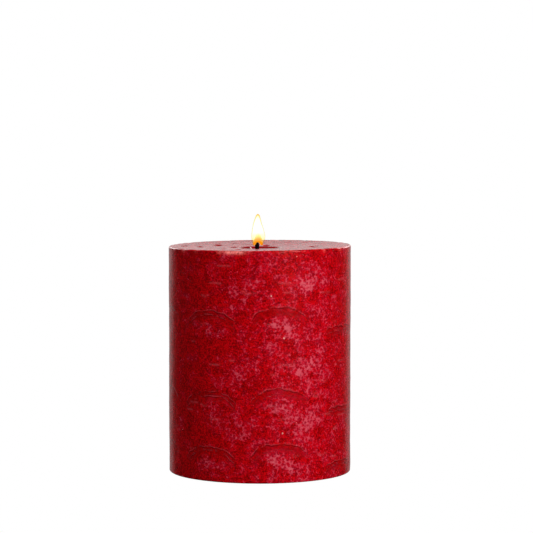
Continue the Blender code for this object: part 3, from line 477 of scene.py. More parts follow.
# %% Pits and rings in the top
def pits(points, count=9, seed=5):
    """How deep each point of the top sits in a pit, from 0 to 1."""
    luck = random.Random(seed)
    places = [(luck.uniform(16, 44), luck.uniform(0, 2 * math.pi), luck.uniform(1.2, 2.4))
              for _ in range(count)]
    found = np.zeros(len(points))
    middles = [(r * math.sin(a), -r * math.cos(a), size) for r, a, size in places]
    middles += [(-23.4, 17.0, 3.0), (-14.4, 3.5, 2.4), (31.0, -8.0, 2.2)]
    for x, y, size in middles:
        away = np.hypot(points[:, 0] - x * MM, (points[:, 1] - y * MM) * 0.6)
        found += smooth(size * MM, 0.45 * size * MM, away)
    return np.clip(found, 0, 1)


pitted = pits(spun) * on_top
POUR_RING = 6.5 * MM  # from one faint ring in the top to the next
rings = np.sin((ring_radius + 1.2 * MM * broad_waves) / POUR_RING * 2 * math.pi) * on_top
print(f"pits cover {100 * (pitted[on_top] > 0.5).mean():.1f} % of the top")

# %% Move the points
outward = np.stack([np.sin(ring_angle), -np.cos(ring_angle), np.zeros_like(ring_angle)], axis=1)
side_share = np.where(outside & (ring_radius > RADIUS - RIM_ROUND), 1.0, 0.0)
away_from_foot = smooth(-2 * MM, 3 * MM, ring_height)
push = 0.1 * MM + 0.13 * MM * broad_waves + 0.07 * MM * small_waves
push = push - 0.09 * MM * marks["crease"] - 0.05 * MM * marks["skin"] - 0.05 * MM * ledges
moved = spun + outward * (push * side_share * away_from_foot)[:, None]
ripples = outside_noise(8 * MM, 3, 8.0)
top_share = np.where(on_top, smooth(RADIUS, RADIUS - 4 * MM, ring_radius), 0.0)
calm = 1 - 0.85 * smooth(POOL_RADIUS + 1 * MM, POOL_RADIUS - POOL_LIP, ring_radius)
moved[:, 2] += (0.13 * MM * ripples + 0.05 * MM * rings - 0.5 * MM * pitted) * top_share * calm
CRUMB_PLACE = (-4.1 * MM, -0.5 * MM)
CRUMB_SIZE = 0.9 * MM
CRUMB_HEIGHT = 1.4 * MM
# A real small bump in the pool; its pale colour in the material is a painted glint
glint_crumb = ridge(np.hypot(spun[:, 0] - CRUMB_PLACE[0], spun[:, 1] - CRUMB_PLACE[1]), CRUMB_SIZE) * on_top
moved[:, 2] += CRUMB_HEIGHT * glint_crumb
moved[:, 2] -= near_rim * (rim_depth + 0.1 * MM * np.abs(small_waves))
moved -= outward * (near_rim * rim_depth * 0.7 * side_share)[:, None]
TOP_SLOPE = 0.0085
upper = np.clip(moved[:, 2] / HEIGHT, 0, 1) * np.where(outside, 1.0, 0.0)
moved[:, 2] += TOP_SLOPE * (moved[:, 0] - RADIUS * 0.6) * upper
WICK_LEAN = -1.5 * MM
moved[:, 0] += WICK_LEAN * smooth(8 * MM, 2 * MM, ring_radius) * (ring_height > BUSH_ROOM[1] + 0.5 * MM)
print(f"the wax now stands {moved[:, 2].max() / MM:.2f} mm tall")


# %% Make the wax mesh and store what the material reads
def mesh_from_grid(name, points, rings, around):
    """A closed mesh from rings of points, whose last ring joins the first."""
    index = np.arange(rings * around).reshape(rings, around)
    index = np.vstack([index, index[:1]])
    here, there = index[:-1], index[1:]
    faces = np.stack([here, there, np.roll(there, -1, axis=1), np.roll(here, -1, axis=1)], axis=-1)
    mesh = bpy.data.meshes.new(name)
    mesh.from_pydata(points.tolist(), [], faces.reshape(-1, 4).tolist())
    return mesh


def store(mesh, name, values):
    attribute = mesh.attributes.new(name, "FLOAT", "POINT")
    attribute.data.foreach_set("value", np.ascontiguousarray(values, dtype=np.float32))


wax_mesh = mesh_from_grid("rustic_wax", moved, len(outline), AROUND)
side = on_side.astype(float)
store(wax_mesh, "skin", marks["skin"] * side)
store(wax_mesh, "frost", marks["frost"] * side)
store(wax_mesh, "ledge", ledges * side)
store(wax_mesh, "line", np.where(on_side, marks["distance"], FAR) / MM)
store(wax_mesh, "wear_highlight", np.clip(rim_wear_highlight * near_rim, 0, 1))
store(wax_mesh, "glint_crumb", glint_crumb)
store(wax_mesh, "pool", smooth(POOL_RADIUS + 0.3 * MM, POOL_RADIUS - 1.0 * MM, ring_radius) * on_top)
store(wax_mesh, "pit", pitted)
wax_mesh.shade_smooth()
wax_mesh.set_sharp_from_angle(angle=math.radians(50))
wax = bpy.data.objects.new("rustic_wax", wax_mesh)
bpy.context.scene.collection.objects.link(wax)
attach(wax, "candle")
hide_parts("wax_shell")
print(len(wax_mesh.polygons), "faces on the wax")

# %% [markdown]
# ### Paraffin wax
#
# Paraffin is a soft, slightly see-through solid with an index of refraction of about 1.44. Cast against
# a mould it comes out satin, not glossy. The dye is a deep crimson. Where wax crystals grow large near
# the surface they scatter light and the red turns to a dusty pink: that is the frosting. Its grain is
# about one millimetre, its lacy net about two, and it gathers in clouds of about seven. The frosting is
# also painted stronger on the side towards the key light and at the back, as painted sheen.

# %% Small sums on sockets
def maths(tree, operation, first, second=0.0, third=0.0):
    """The result of one sum on sockets or numbers."""
    return add(tree, "Math", {"operation": operation}, i0=first, i1=second, i2=third).outputs[0]


def spread(tree, value, low, high):
    """0 to 1 as a socket goes from low to high, on an S curve."""
    return add(tree, "MapRange", SMOOTH, Value=value, From_Min=low, From_Max=high).outputs[0]


def blend_colour(tree, share, first, second):
    """A colour between two, by a share socket."""
    return add(tree, "Mix", {"data_type": "RGBA"}, i0=share, i6=first, i7=second).outputs[2]


print("helpers for sums, steps and blends")

# %% The wax's colours
DEEP_RED = linear("#7a0003")
MAIN_RED = linear("#d6030f")
CRIMSON = linear("#cf1f45")
# Frost pink, also used for the painted highlight along the laps' lips
FROST_AND_HIGHLIGHT_PINK = linear("#da6470")
# Dark red of the smooth skin, also used as painted shade in the pool and the pits
SKIN_AND_SHADE_RED = linear("#9a0003")
# Painted shade: the dark red drawn into each crease's groove
CREASE_SHADE_RED = linear("#5c0002")
# Painted highlight: pale pink for the worn front of the rim
WEAR_HIGHLIGHT_PINK = linear("#ff8f8a")
# Painted glint: near-white pink for small glints of light, also used on the crumb
GLINT_PINK = linear("#f8c8bc")
print("eight reds, from crease to bubble")

# %% The wax material
wax_material, tree, shader = new_material("paraffin_wax", IOR=1.44, Roughness=0.3)
place = add(tree, "TexCoord").outputs["Object"]
CLOUD, MOTTLE, GRAIN, CELL, GLINT_SPACING = 7.0 * MM, 3.5 * MM, 0.8 * MM, 1.6 * MM, 7.0 * MM
cloud = add(tree, "TexNoise", Vector=place, Scale=1 / CLOUD, Detail=4.0, Roughness=0.65, Distortion=0.5)
grain = add(tree, "TexNoise", Vector=place, Scale=1 / GRAIN, Detail=2.0, Roughness=0.6, Distortion=0.4)
bent = add(tree, "VectorMath", {"operation": "SCALE"}, i0=grain.outputs["Color"], Scale=0.9 * MM)
bent = add(tree, "VectorMath", {"operation": "ADD"}, i0=place, i1=bent.outputs[0])
mottle = add(tree, "TexNoise", Vector=place, Scale=1 / MOTTLE, Detail=3.0, Roughness=0.6, Distortion=0.8)
cell = add(tree, "TexVoronoi", {"feature": "F1"}, Vector=bent.outputs[0], Scale=1 / CELL, Randomness=1.0)
marked = {name: add(tree, "Attribute", {"attribute_name": name}).outputs["Fac"] for name in
          ("skin", "frost", "ledge", "line", "wear_highlight", "glint_crumb", "pool", "pit")}


def line_share(tree, distance, middle, width):
    """1 where a distance socket is at the middle, falling to 0 at the width on both sides."""
    away = maths(tree, "ABSOLUTE", maths(tree, "SUBTRACT", distance, middle))
    return spread(tree, away, width, 0.0)


net = spread(tree, cell.outputs["Distance"], 0.25, 0.8)
# Frost level; the frost attribute also carries the painted sheen
frosting = maths(tree, "MULTIPLY_ADD", marked["frost"], 0.36, maths(tree, "MULTIPLY", cloud.outputs[0], 1.4))
frosting = maths(tree, "MULTIPLY_ADD", grain.outputs[0], 1.0, frosting)
frosting = maths(tree, "MULTIPLY_ADD", net, 0.5, frosting)
frosting = maths(tree, "MULTIPLY_ADD", marked["skin"], -0.3, frosting)
weak = spread(tree, frosting, 1.5, 2.1)
strong = spread(tree, frosting, 1.7, 2.24)
haze = spread(tree, maths(tree, "MULTIPLY_ADD", marked["frost"], 0.15, cloud.outputs[0]), 0.42, 0.75)
broken = spread(tree, cloud.outputs[0], 0.36, 0.52)
crease = maths(tree, "MULTIPLY", line_share(tree, marked["line"], 0.0, 0.65), broken)
# The lip above each crease, painted paler as a highlight and raised a little in the bump
lip = maths(tree, "MULTIPLY", line_share(tree, marked["line"], 0.7, 0.65), broken)
depth = maths(tree, "MULTIPLY_ADD", grain.outputs[0], 0.7, maths(tree, "MULTIPLY", mottle.outputs[0], 0.3))
red = blend_colour(tree, spread(tree, depth, 0.38, 0.61), DEEP_RED, MAIN_RED)
red = blend_colour(tree, maths(tree, "MULTIPLY", marked["skin"], 0.45), red, SKIN_AND_SHADE_RED)
red = blend_colour(tree, maths(tree, "MULTIPLY", haze, 0.3), red, CRIMSON)
red = blend_colour(tree, maths(tree, "MULTIPLY", weak, 0.7), red, CRIMSON)
red = blend_colour(tree, maths(tree, "MULTIPLY", strong, 0.78), red, FROST_AND_HIGHLIGHT_PINK)
# Painted highlight: the pale line along each lip, joined with the pale ledge marks
lip_highlight_and_ledges = maths(tree, "MAXIMUM", maths(tree, "MULTIPLY", lip, 0.8), marked["ledge"])
red = blend_colour(tree, maths(tree, "MULTIPLY", lip_highlight_and_ledges, 0.3), red, FROST_AND_HIGHLIGHT_PINK)
# Painted shade: each crease is darkened as if shaded in its groove
red = blend_colour(tree, maths(tree, "MULTIPLY", crease, 0.8), red, CREASE_SHADE_RED)
# Painted highlight: the worn front of the rim is painted pale pink, broken by the grain
worn_highlight = maths(tree, "MULTIPLY", marked["wear_highlight"], spread(tree, grain.outputs[0], 0.3, 0.55))
red = blend_colour(tree, worn_highlight, red, WEAR_HIGHLIGHT_PINK)
# Painted shade: the pool round the wick and the pits in the top are darkened as hollows in shadow
hollow_shade = maths(tree, "MAXIMUM", marked["pool"], marked["pit"])
red = blend_colour(tree, maths(tree, "MULTIPLY", hollow_shade, 0.9), red, SKIN_AND_SHADE_RED)
# Painted glint: the crumb beside the wick is painted near-white
red = blend_colour(tree, spread(tree, marked["glint_crumb"], 0.3, 0.7), red, GLINT_PINK)
# Painted glints: scattered pale dots stand in for small sparkles of light on the wax
glints = add(tree, "TexVoronoi", Vector=place, Scale=1 / GLINT_SPACING, Randomness=1.0)
chance = add(tree, "SeparateColor", Color=glints.outputs["Color"])
size = maths(tree, "MULTIPLY_ADD", chance.outputs[1], 0.05, 0.025)
glint_dot = maths(tree, "LESS_THAN", glints.outputs["Distance"], size)
glint_dot = maths(tree, "MULTIPLY", glint_dot, maths(tree, "GREATER_THAN", chance.outputs[0], 0.6))
red = blend_colour(tree, maths(tree, "MULTIPLY", glint_dot, 0.7), red, GLINT_PINK)
tree.links.new(red, shader.inputs["Base Color"])
rough = maths(tree, "MULTIPLY_ADD", weak, 0.14, 0.24)
rough = maths(tree, "MULTIPLY_ADD", marked["pool"], -0.12, rough)
tree.links.new(rough, shader.inputs["Roughness"])
relief = maths(tree, "MULTIPLY_ADD", net, 0.5, maths(tree, "MULTIPLY", grain.outputs[0], 0.55))
relief = maths(tree, "MULTIPLY_ADD", crease, -0.7, maths(tree, "MULTIPLY_ADD", lip, 0.1, relief))
bump = add(tree, "Bump", Strength=0.35, Distance=0.22 * MM, Height=relief)
tree.links.new(bump.outputs[0], shader.inputs["Normal"])
wax_mesh.materials.append(wax_material)
print("wax grain", GRAIN / MM, "mm in clouds of", CLOUD / MM, "mm")

# %% [markdown]
# ## The wick
#
# The wick is a thin black tube with a rounded mouth, standing in the pool and leaning a little to the
# left. It is remodelled so that it can lean and carry the faint twist of a plaited cord.

# %% The wick's shape
wick_low, wick_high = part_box("wick_tube")
WICK_RADIUS = wick_high.x
WICK_TOP = wick_high.z
WICK_PLAITS = 5
WICK_TURN = 5.0 * MM  # height of one turn of the plait


def turned_piece(name, profile, around, shape=None):
    """A closed turned piece from (radius, height) points. Shape moves its points before it is made."""
    turn = np.arange(around) * 2 * math.pi / around
    radius = np.repeat([r for r, _ in profile], around)
    height = np.repeat([z for _, z in profile], around)
    angle = np.tile(turn, len(profile))
    points = np.stack([radius * np.sin(angle), -radius * np.cos(angle), height], axis=1)
    if shape:
        points = shape(points, angle)
    mesh = mesh_from_grid(name, points, len(profile), around)
    mesh.shade_smooth()
    made = bpy.data.objects.new(name, mesh)
    bpy.context.scene.collection.objects.link(made)
    return made


def wick_shift(height):
    """How far the wick is bent to one side at a height. The bend is inside the wax."""
    return WICK_LEAN * smooth(wick_low.z + 1 * MM, HEIGHT - DISH_DEPTH - POOL_DEPTH - 0.5 * MM, height)


def plait_and_lean(points, angle):
    outer = np.hypot(points[:, 0], points[:, 1]) > WICK_RADIUS * 0.85
    twist = np.sin(WICK_PLAITS * angle + points[:, 2] / WICK_TURN * 2 * math.pi)
    points[:, :2] *= (1 + np.where(outer, 0.035 * twist - 0.035, 0.0))[:, None]
    points[:, 0] += wick_shift(points[:, 2])
    return points


MOUTH_ROUND = 1.1 * MM
wick_profile = [(WICK_RADIUS * math.sin(a), WICK_TOP - MOUTH_ROUND * (1 - math.cos(a)))
                for a in np.linspace(0.42, 1.57, 6)]
wick_profile += [(WICK_RADIUS, z) for z in np.linspace(WICK_TOP - 1.3 * MM, wick_low.z, 40)]
wick_profile += [(0.95 * MM, wick_low.z), (0.95 * MM, WICK_TOP - 1.4 * MM)]
wick_profile += [(WICK_RADIUS * 0.3, WICK_TOP - 0.6 * MM)]
wick = turned_piece("wick", wick_profile, 40, plait_and_lean)
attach(wick, "candle")
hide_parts("wick_tube")
print(f"wick {2 * WICK_RADIUS / MM:.1f} mm thick")

# %% The wick's black plastic
wick_material, tree, shader = new_material("black_wick_plastic", IOR=1.5, Roughness=0.8)
place = add(tree, "TexCoord").outputs["Object"]
soot = add(tree, "TexNoise", Vector=place, Scale=1 / (0.5 * MM), Detail=3.0)
black = blend_colour(tree, soot.outputs[0], linear("#020202"), linear("#0d0b0b"))
tree.links.new(black, shader.inputs["Base Color"])
bump = add(tree, "Bump", Strength=0.5, Distance=0.1 * MM, Height=soot.outputs[0])
tree.links.new(bump.outputs[0], shader.inputs["Normal"])
shader.inputs["Specular IOR Level"].default_value = 0.2
wick.data.materials.append(wick_material)
print("wick material made")

# %% [markdown]
# ## The flame
#
# The flame is a soft translucent moulding lit from inside. Its skin is tinted gold, which shows as a
# thin golden line round the outline. Inside it the glow is white, and it turns to amber over the wick.
# Nested bodies make this: the clear golden skin, the white glow inside it, and three amber cones, one
# in the other, so that the amber deepens towards the wick.

# %% The flame's outline
flame_low, flame_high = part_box("flame_lens")
FLAME_BOTTOM, FLAME_TIP = flame_low.z, flame_high.z
FLAME_TALL = FLAME_TIP - FLAME_BOTTOM
FLAME_SKIN = 0.5 * MM
FLAME_BOW = [(0.0, -1.1), (0.25, -0.85), (0.45, -0.95), (0.7, -1.3), (1.0, -1.05)]  # share of height, mm
FLAME_FORM = [(0.0, 0.55), (0.03, 0.68), (0.11, 0.81), (0.2, 0.92), (0.29, 0.97), (0.4, 0.9), (0.6, 0.7)]
FLAME_FORM += [(0.79, 0.48), (0.9, 0.33), (0.96, 0.24), (1.0, 0.15)]


def along(table, share):
    """The value at a share of the flame's height, from a table of (share, value)."""
    return np.interp(share, *zip(*table))


def flame_profile(inset, steps=40):
    """Points from tip to lobes, moved inwards by inset, then up inside the hollow that holds the wick."""
    shares = np.sin(np.linspace(math.pi / 2, 0, steps))
    points = []
    for share in shares:
        width = np.mean(along(FLAME_FORM, np.clip(share + np.linspace(-0.06, 0.06, 9), 0, 1)))
        width *= math.sqrt(max(1 - smooth(0.94, 1.0, share) ** 1.5, 0.0))
        z = FLAME_BOTTOM + 0.5 * inset + (FLAME_TALL - 1.6 * inset) * share
        points.append((max(flame_high.x * width - inset, 0.03 * MM), z))
    hollow = WICK_RADIUS + 0.15 * MM
    foot = points[-1]
    points += [(foot[0] - 0.3 * MM, foot[1] - 0.15 * MM), (hollow + 0.3 * MM, foot[1] + 0.2 * MM)]
    points += [(hollow, foot[1] + 0.8 * MM), (hollow, WICK_TOP + 0.15 * MM), (0.03 * MM, WICK_TOP + 0.4 * MM)]
    return points


def bow_flame(points, angle):
    """Bows the flame to one side, and lifts its foot at front and back, which leaves two lobes."""
    share = np.clip((points[:, 2] - FLAME_BOTTOM) / FLAME_TALL, 0, 1)
    points[:, 2] += 1.95 * MM * smooth(0.22, 0.0, share) * np.cos(angle) ** 2
    points[:, 0] += along(FLAME_BOW, share) * MM
    return points


skin = turned_piece("flame_skin", flame_profile(0.0), 56, bow_flame)
glow = turned_piece("flame_glow", flame_profile(FLAME_SKIN), 48, bow_flame)
print(f"flame {FLAME_TALL / MM:.1f} mm tall")


# %% The amber guide: three nested cones
def guide_cone(width, height, steps=14):
    """A closed cone with a round shoulder, over the wick."""
    base = WICK_TOP - 1.5 * MM
    points = [(max(width * (1 - t) ** 0.6, 0.03 * MM), base + height * t) for t in np.linspace(1, 0, steps)]
    hollow = WICK_RADIUS + 0.1 * MM
    points += [(hollow + 0.2 * MM, base - 0.25 * MM), (hollow, base + 0.3 * MM)]
    return points + [(hollow, WICK_TOP + 0.1 * MM), (0.03 * MM, WICK_TOP + 0.3 * MM)]


GUIDE_CONES = [(2.95 * MM, 7.2 * MM), (2.45 * MM, 5.8 * MM), (1.95 * MM, 4.4 * MM)]
cones = [turned_piece(f"guide_{number}", guide_cone(*size), 32, bow_flame) for number, size in
         enumerate(GUIDE_CONES, start=1)]
for piece, node, slot in [(skin, "flame_lens", "flame"), (glow, "flame_lens", "flame")] + [
    (cone, "light_guide", "guide") for cone in cones
]:
    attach(piece, "candle")
    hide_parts(node)
    piece.visible_diffuse = False
    piece.visible_glossy = False
    piece.visible_shadow = False
print(len(cones), "cones in the guide")

# %% Materials that glow and let light through
def glowing(name, low, high, stops):
    """A clear glowing material that changes with height. Stops: share, tint let through, light given."""
    material = bpy.data.materials.new(name)
    material.use_nodes = True
    tree = material.node_tree
    tree.nodes.remove(tree.nodes["Principled BSDF"])
    place = add(tree, "TexCoord").outputs["Object"]
    flutter = add(tree, "TexNoise", Vector=place, Scale=1 / (2.5 * MM), Detail=1.0)
    height = add(tree, "SeparateXYZ", Vector=place).outputs["Z"]
    share = add(tree, "MapRange", Value=height, From_Min=low, From_Max=high).outputs[0]
    share = maths(tree, "MULTIPLY_ADD", flutter.outputs[0], 0.06, maths(tree, "SUBTRACT", share, 0.03))
    ramps = []
    for column in (1, 2):
        ramp = add(tree, "ValToRGB", Fac=share)
        ends = ramp.color_ramp.elements
        ends.remove(ends[1])
        ends[0].position, ends[0].color = stops[0][0], (*stops[0][column], 1.0)
        for stop in stops[1:]:
            ends.new(stop[0]).color = (*stop[column], 1.0)
        ramps.append(ramp.outputs[0])
    clear = add(tree, "BsdfTransparent", Color=ramps[0])
    light = add(tree, "Emission", Color=ramps[1], Strength=1.0)
    both = add(tree, "AddShader", i0=clear.outputs[0], i1=light.outputs[0])
    tree.links.new(both.outputs[0], tree.nodes["Material Output"].inputs["Surface"])
    return material


print("one function for three glowing materials")

# %% Gold skin, white glow and amber guide
skin.data.materials.append(glowing("golden_silicone", FLAME_BOTTOM, FLAME_TIP, [
    (0.0, (0.99, 0.84, 0.5), (0.0, 0.0, 0.0)),
    (0.25, (0.98, 0.92, 0.74), (0.0, 0.0, 0.0)),
    (0.55, (0.95, 0.93, 0.72), (0.0, 0.0, 0.0)),
    (0.86, (0.95, 0.9, 0.62), (0.0, 0.0, 0.0)),
    (0.97, (0.98, 0.76, 0.3), (0.0, 0.0, 0.0)),
]))
glow.data.materials.append(glowing("lamp_glow", FLAME_BOTTOM, FLAME_TIP, [
    (0.0, (0.8, 0.75, 0.5), (0.3, 0.2, 0.03)),
    (0.2, (0.85, 0.85, 0.8), (0.24, 0.22, 0.12)),
    (0.34, (0.75, 0.75, 0.73), (0.5, 0.48, 0.4)),
    (0.5, (0.3, 0.3, 0.3), (1.4, 1.35, 1.3)),
    (0.9, (0.3, 0.3, 0.3), (1.4, 1.3, 1.2)),
]))
guide_amber = glowing("amber_guide", WICK_TOP - 1.5 * MM, WICK_TOP + 5.7 * MM, [
    (0.0, (0.6, 0.42, 0.12), (0.38, 0.15, 0.0)),
    (0.35, (0.66, 0.5, 0.16), (0.36, 0.15, 0.0)),
    (0.62, (0.8, 0.72, 0.4), (0.22, 0.16, 0.02)),
    (0.95, (1.0, 1.0, 0.98), (0.0, 0.0, 0.0)),
])
for cone in cones:
    cone.data.materials.append(guide_amber)
print("flame materials made")

# %% [markdown]
# ## The lamp on its strip of board
#
# A strip of circuit board 1.1 mm wide stands inside the wick and carries the lamp chip at its top. The
# wick is bent, so the strip is remodelled with the same bend.

# %% The strip and the lamp chip
def block(name, low, high, rows=1, bevel=0.0):
    """A box between two corners, cut into rows along its height, with its edges rounded."""
    made = bpy.data.meshes.new(name)
    levels = np.linspace(low[2], high[2], rows + 1)
    ring = [(low[0], low[1]), (high[0], low[1]), (high[0], high[1]), (low[0], high[1])]
    points = [(x + wick_shift(z), y, z) for z in levels for x, y in ring]
    corners = [(4 * row + a, 4 * row + (a + 1) % 4) for row in range(rows) for a in range(4)]
    faces = [(a, b, b + 4, a + 4) for a, b in corners]
    made.from_pydata(points, [], faces + [(3, 2, 1, 0), tuple(4 * rows + a for a in range(4))])
    thing = bpy.data.objects.new(name, made)
    bpy.context.scene.collection.objects.link(thing)
    if bevel:
        rounding = thing.modifiers.new("rounding", "BEVEL")
        rounding.width = bevel
        rounding.segments = 2
        rounding.limit_method = "ANGLE"
    return thing


strip_low, strip_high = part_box("lamp_board")
chip_low, chip_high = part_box("led_chip")
strip = block("lamp_strip", strip_low, strip_high, rows=24, bevel=0.04 * MM)
lamp_chip = block("lamp_chip", chip_low, chip_high, rows=2, bevel=0.08 * MM)
for piece, node, name in ((strip, "lamp_board", "board"), (lamp_chip, "led_chip", "led")):
    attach(piece, "candle")
    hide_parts(node)
print(f"strip {(strip_high.z - strip_low.z) / MM:.1f} mm long")

# %% [markdown]
# ## Moulded plastics
#
# The base, the battery door and their knob are ABS, the usual plastic of battery housings. Black ABS is
# moulded in a spark-eroded tool, which leaves an even fine grain of about a quarter of a millimetre. The
# parts nobody sees are left in the plastic's own ivory, from a polished tool, with faint flow clouds.
# The grain is drawn at 0.5 mm, twice its real size, because finer grain wouldn't show.

# %% Shared steps for plain finishes
def grainy(name, light, dark, grain_size, bump_height, rough=(0.4, 0.5), metal=0.0, squash=(1, 1, 1)):
    """A finish with noise in its colour, roughness and bump. Returns the material, tree, shader and
    coordinates.
    """
    material, tree, shader = new_material(name, Metallic=metal)
    place = add(tree, "TexCoord").outputs["Object"]
    place = add(tree, "Mapping", Vector=place, Scale=squash).outputs[0]
    noise_node = add(tree, "TexNoise", Vector=place, Scale=1 / grain_size, Detail=3.0, Roughness=0.6)
    share = spread(tree, noise_node.outputs[0], 0.35, 0.65)
    tree.links.new(blend_colour(tree, share, linear(dark), linear(light)), shader.inputs["Base Color"])
    roughness = maths(tree, "MULTIPLY_ADD", share, rough[1] - rough[0], rough[0])
    tree.links.new(roughness, shader.inputs["Roughness"])
    lift = add(tree, "Bump", Strength=0.5, Distance=bump_height, Height=noise_node.outputs[0])
    tree.links.new(lift.outputs[0], shader.inputs["Normal"])
    return material, tree, shader, place


def dress(material, *names):
    """Gives a material to the CAD pieces of those names."""
    for name in names:
        mesh = nodes[name].data
        mesh.materials.clear()
        mesh.materials.append(material)


print("grainy finishes ready")

# %% Black and ivory ABS
black_abs = grainy("black_moulded_abs", "#1f1f20", "#151516", 0.5 * MM, 0.03 * MM, rough=(0.42, 0.55))[0]
ivory_abs = grainy("ivory_moulded_abs", "#e6e1d2", "#dcd6c4", 9 * MM, 0.02 * MM, rough=(0.3, 0.4))[0]
for made in (black_abs, ivory_abs):
    made.node_tree.nodes["Principled BSDF"].inputs["IOR"].default_value = 1.54
dress(black_abs, "base_housing", "battery_door")
dress(ivory_abs, "core_cover", "lamp_column", "wick_bush", "lamp_plug", "switch_slider")
print("ABS on seven pieces")

# %% [markdown]
# ### Soft edges underneath
#
# A moulded edge is never razor sharp: the tool leaves about a quarter of a millimetre of round. A bevel
# modifier adds it to the pieces that show when the candle is turned over, so that their edges catch light.

# %% Rounded edges on the pieces underneath
EDGE_ROUND = 0.22 * MM
for name in ("base_housing", "battery_door", "switch_slider"):
    rounding = nodes[name].modifiers.new("moulded_edge", "BEVEL")
    rounding.width = EDGE_ROUND
    rounding.segments = 2
    rounding.limit_method = "ANGLE"
    rounding.angle_limit = math.radians(40)
    rounding.use_clamp_overlap = True
print("edges rounded to", EDGE_ROUND / MM, "mm")

# %% [markdown]
# ## Metals
#
# Battery contacts and springs are spring steel plated with nickel, warm white and softly polished by the
# rollers, so their faint lines run lengthwise. The screws are steel plated with zinc and passivated,
# which looks bluer and a little mottled. A metal keeps the default index of refraction.

# %% Nickel and zinc plating
nickel = grainy("nickel_plated_steel", "#d2cdc3", "#bdb7ab", 0.6 * MM, 0.01 * MM, (0.22, 0.34), metal=1.0,
                squash=(0.15, 1, 1))[0]
zinc = grainy("zinc_plated_steel", "#c3c8ce", "#a3a9b2", 0.7 * MM, 0.02 * MM, (0.28, 0.42), 1.0)[0]
contacts = ("positive_contact", "negative_contact", "bridge_contact", "negative_spring", "bridge_spring")
dress(nickel, *contacts, "switch_body")
screws = [name for name in nodes if "_screw_" in name]
dress(zinc, *screws)
print(len(screws), "screws plated")

# %% [markdown]
# ## Cells
#
# A dry cell wears a shrunk printed film, a glossy skin over ink. This one is plain: a charcoal body, an
# orange band at the positive end and a thin pale line between them. The two ends are bare steel.

# %% Printed jackets
def cell_jacket(name):
    low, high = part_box(name)
    middle = (low + high) / 2
    material, tree, shader = new_material(f"{name}_printed_film", Roughness=0.25, IOR=1.5)
    spot = add(tree, "TexCoord").outputs["Object"]
    split = add(tree, "SeparateXYZ", Vector=spot)
    facing = 1 if name == "battery_1" else -1
    half = (high.x - low.x) / 2
    from_end = maths(tree, "MULTIPLY_ADD", split.outputs["X"], -facing, facing * middle.x + half)
    ink = add(tree, "TexNoise", Vector=spot, Scale=1 / (1.2 * MM), Detail=2.0)
    charcoal = blend_colour(tree, ink.outputs[0], linear("#24272b"), linear("#2d3136"))
    orange = blend_colour(tree, ink.outputs[0], linear("#c8641e"), linear("#d0702a"))
    body = blend_colour(tree, maths(tree, "GREATER_THAN", from_end, 15 * MM), orange, charcoal)
    line = line_share(tree, from_end, 15 * MM, 0.8 * MM)
    body = blend_colour(tree, line, body, linear("#e4e0d6"))
    from_middle = maths(tree, "ABSOLUTE", maths(tree, "SUBTRACT", split.outputs["X"], middle.x))
    steel = maths(tree, "GREATER_THAN", from_middle, half - 2.6 * MM)
    body = blend_colour(tree, steel, body, linear("#c9c7c2"))
    tree.links.new(body, shader.inputs["Base Color"])
    tree.links.new(steel, shader.inputs["Metallic"])
    lift = add(tree, "Bump", Strength=0.3, Distance=0.02 * MM, Height=ink.outputs[0])
    tree.links.new(lift.outputs[0], shader.inputs["Normal"])
    dress(material, name)


for name in ("battery_1", "battery_2"):
    cell_jacket(name)
print("two cells dressed")

# %% [markdown]
# ## Electronics
#
# The board is glass and epoxy laminate under green solder mask. Copper tracks show through the mask as
# paler green lines, and here they come from a brick pattern 1.8 mm wide. The chip is matt black epoxy,
# the capacitor wears a dark sleeve with a pale stripe, and the resistor is tan lacquer with bands.

# %% Green laminate
laminate, tree, shader, place = grainy("green_laminate", "#1c5a34", "#174e2c", 1.5 * MM, 0.01 * MM,
                                       rough=(0.3, 0.38))
tracks = add(tree, "TexBrick", Vector=place, Scale=1.0, Color1=linear("#1c5a34"), Color2=linear("#174e2c"),
             Mortar=linear("#3b8a55"), Mortar_Size=0.3 * MM, Brick_Width=6 * MM, Row_Height=1.8 * MM)
tree.links.new(tracks.outputs["Color"], shader.inputs["Base Color"])
dress(laminate, "circuit_board")
strip.data.materials.append(laminate)
print("laminate on the board and the strip")

# %% Chip, capacitor and resistor
epoxy = grainy("black_epoxy", "#232323", "#191919", 0.3 * MM, 0.02 * MM, (0.5, 0.62))[0]
dress(epoxy, "controller_chip")


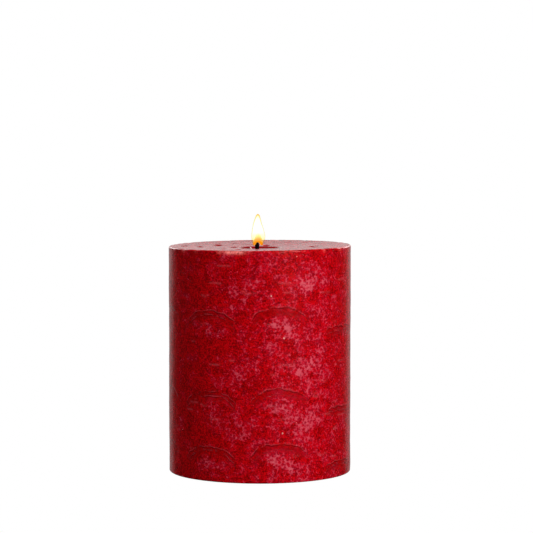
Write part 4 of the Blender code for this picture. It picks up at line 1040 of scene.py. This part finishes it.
def striped(name, body, stripe, axis, places, width):
    """Paint with stripes across one axis, at places measured from the piece's middle."""
    low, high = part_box(name)
    middle = ((low + high) / 2)["XYZ".index(axis)]
    material, tree, shader, place = grainy(f"{name}_lacquer", body, body, 0.8 * MM, 0.01 * MM, (0.3, 0.4))
    value = add(tree, "SeparateXYZ", Vector=place).outputs[axis]
    colour = linear(body)
    for offset, paint in zip(places, stripe):
        stripe_share = line_share(tree, value, middle + offset * MM, width)
        colour = blend_colour(tree, stripe_share, colour, linear(paint))
    tree.links.new(colour, shader.inputs["Base Color"])
    dress(material, name)


striped("capacitor", "#1d2440", ["#b9c0cf"], "Y", [2.1], 1.0 * MM)
BANDS = ["#7a3b1e", "#141414", "#c8641e", "#b99a3c"]
striped("resistor", "#c9a878", BANDS, "X", [-1.7, -0.7, 0.3, 1.8], 0.35 * MM)
print("three parts on the board")

# %% Lamp chip
phosphor = grainy("yellow_phosphor", "#f2d25a", "#e3bd3f", 0.2 * MM, 0.01 * MM, (0.35, 0.45))[0]
lamp_chip.data.materials.append(phosphor)
print("phosphor on the lamp chip")

# %% [markdown]
# ## Wires
#
# The wires are thin stranded copper in PVC sleeves. Red is battery positive, black is negative, and
# yellow goes to the switch and the lamp. PVC is soft and slightly waxy.

# %% PVC sleeves
WIRES = {
    "red_pvc": ("#b3201c", "#a01a17", ["battery_wire_positive", "lamp_wire_positive"]),
    "black_pvc": ("#1b1b1c", "#121213", ["battery_wire_negative", "lamp_wire_negative"]),
    "yellow_pvc": ("#d9b22c", "#cca524", ["switch_wire_common", "switch_wire_on", "switch_wire_timer"]),
}
for name, (light, dark, wires) in WIRES.items():
    sleeve = grainy(name, light, dark, 1.0 * MM, 0.01 * MM, (0.38, 0.48))[0]
    sleeve.node_tree.nodes["Principled BSDF"].inputs["IOR"].default_value = 1.53
    dress(sleeve, *wires)
print(sum(len(wires) for _, _, wires in WIRES.values()), "wires sleeved")

# %% [markdown]
# ## The sizes at the end
#
# The size of what shows is written beside the size of the CAD model, so that the two can be compared.

# %% Write both sizes
visual_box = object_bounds()
for corner, cad, visual in zip(("low", "high"), cad_box, visual_box):
    print(corner, [round((v - c) / MM, 2) for c, v in zip(cad, visual)], "mm from the CAD box")
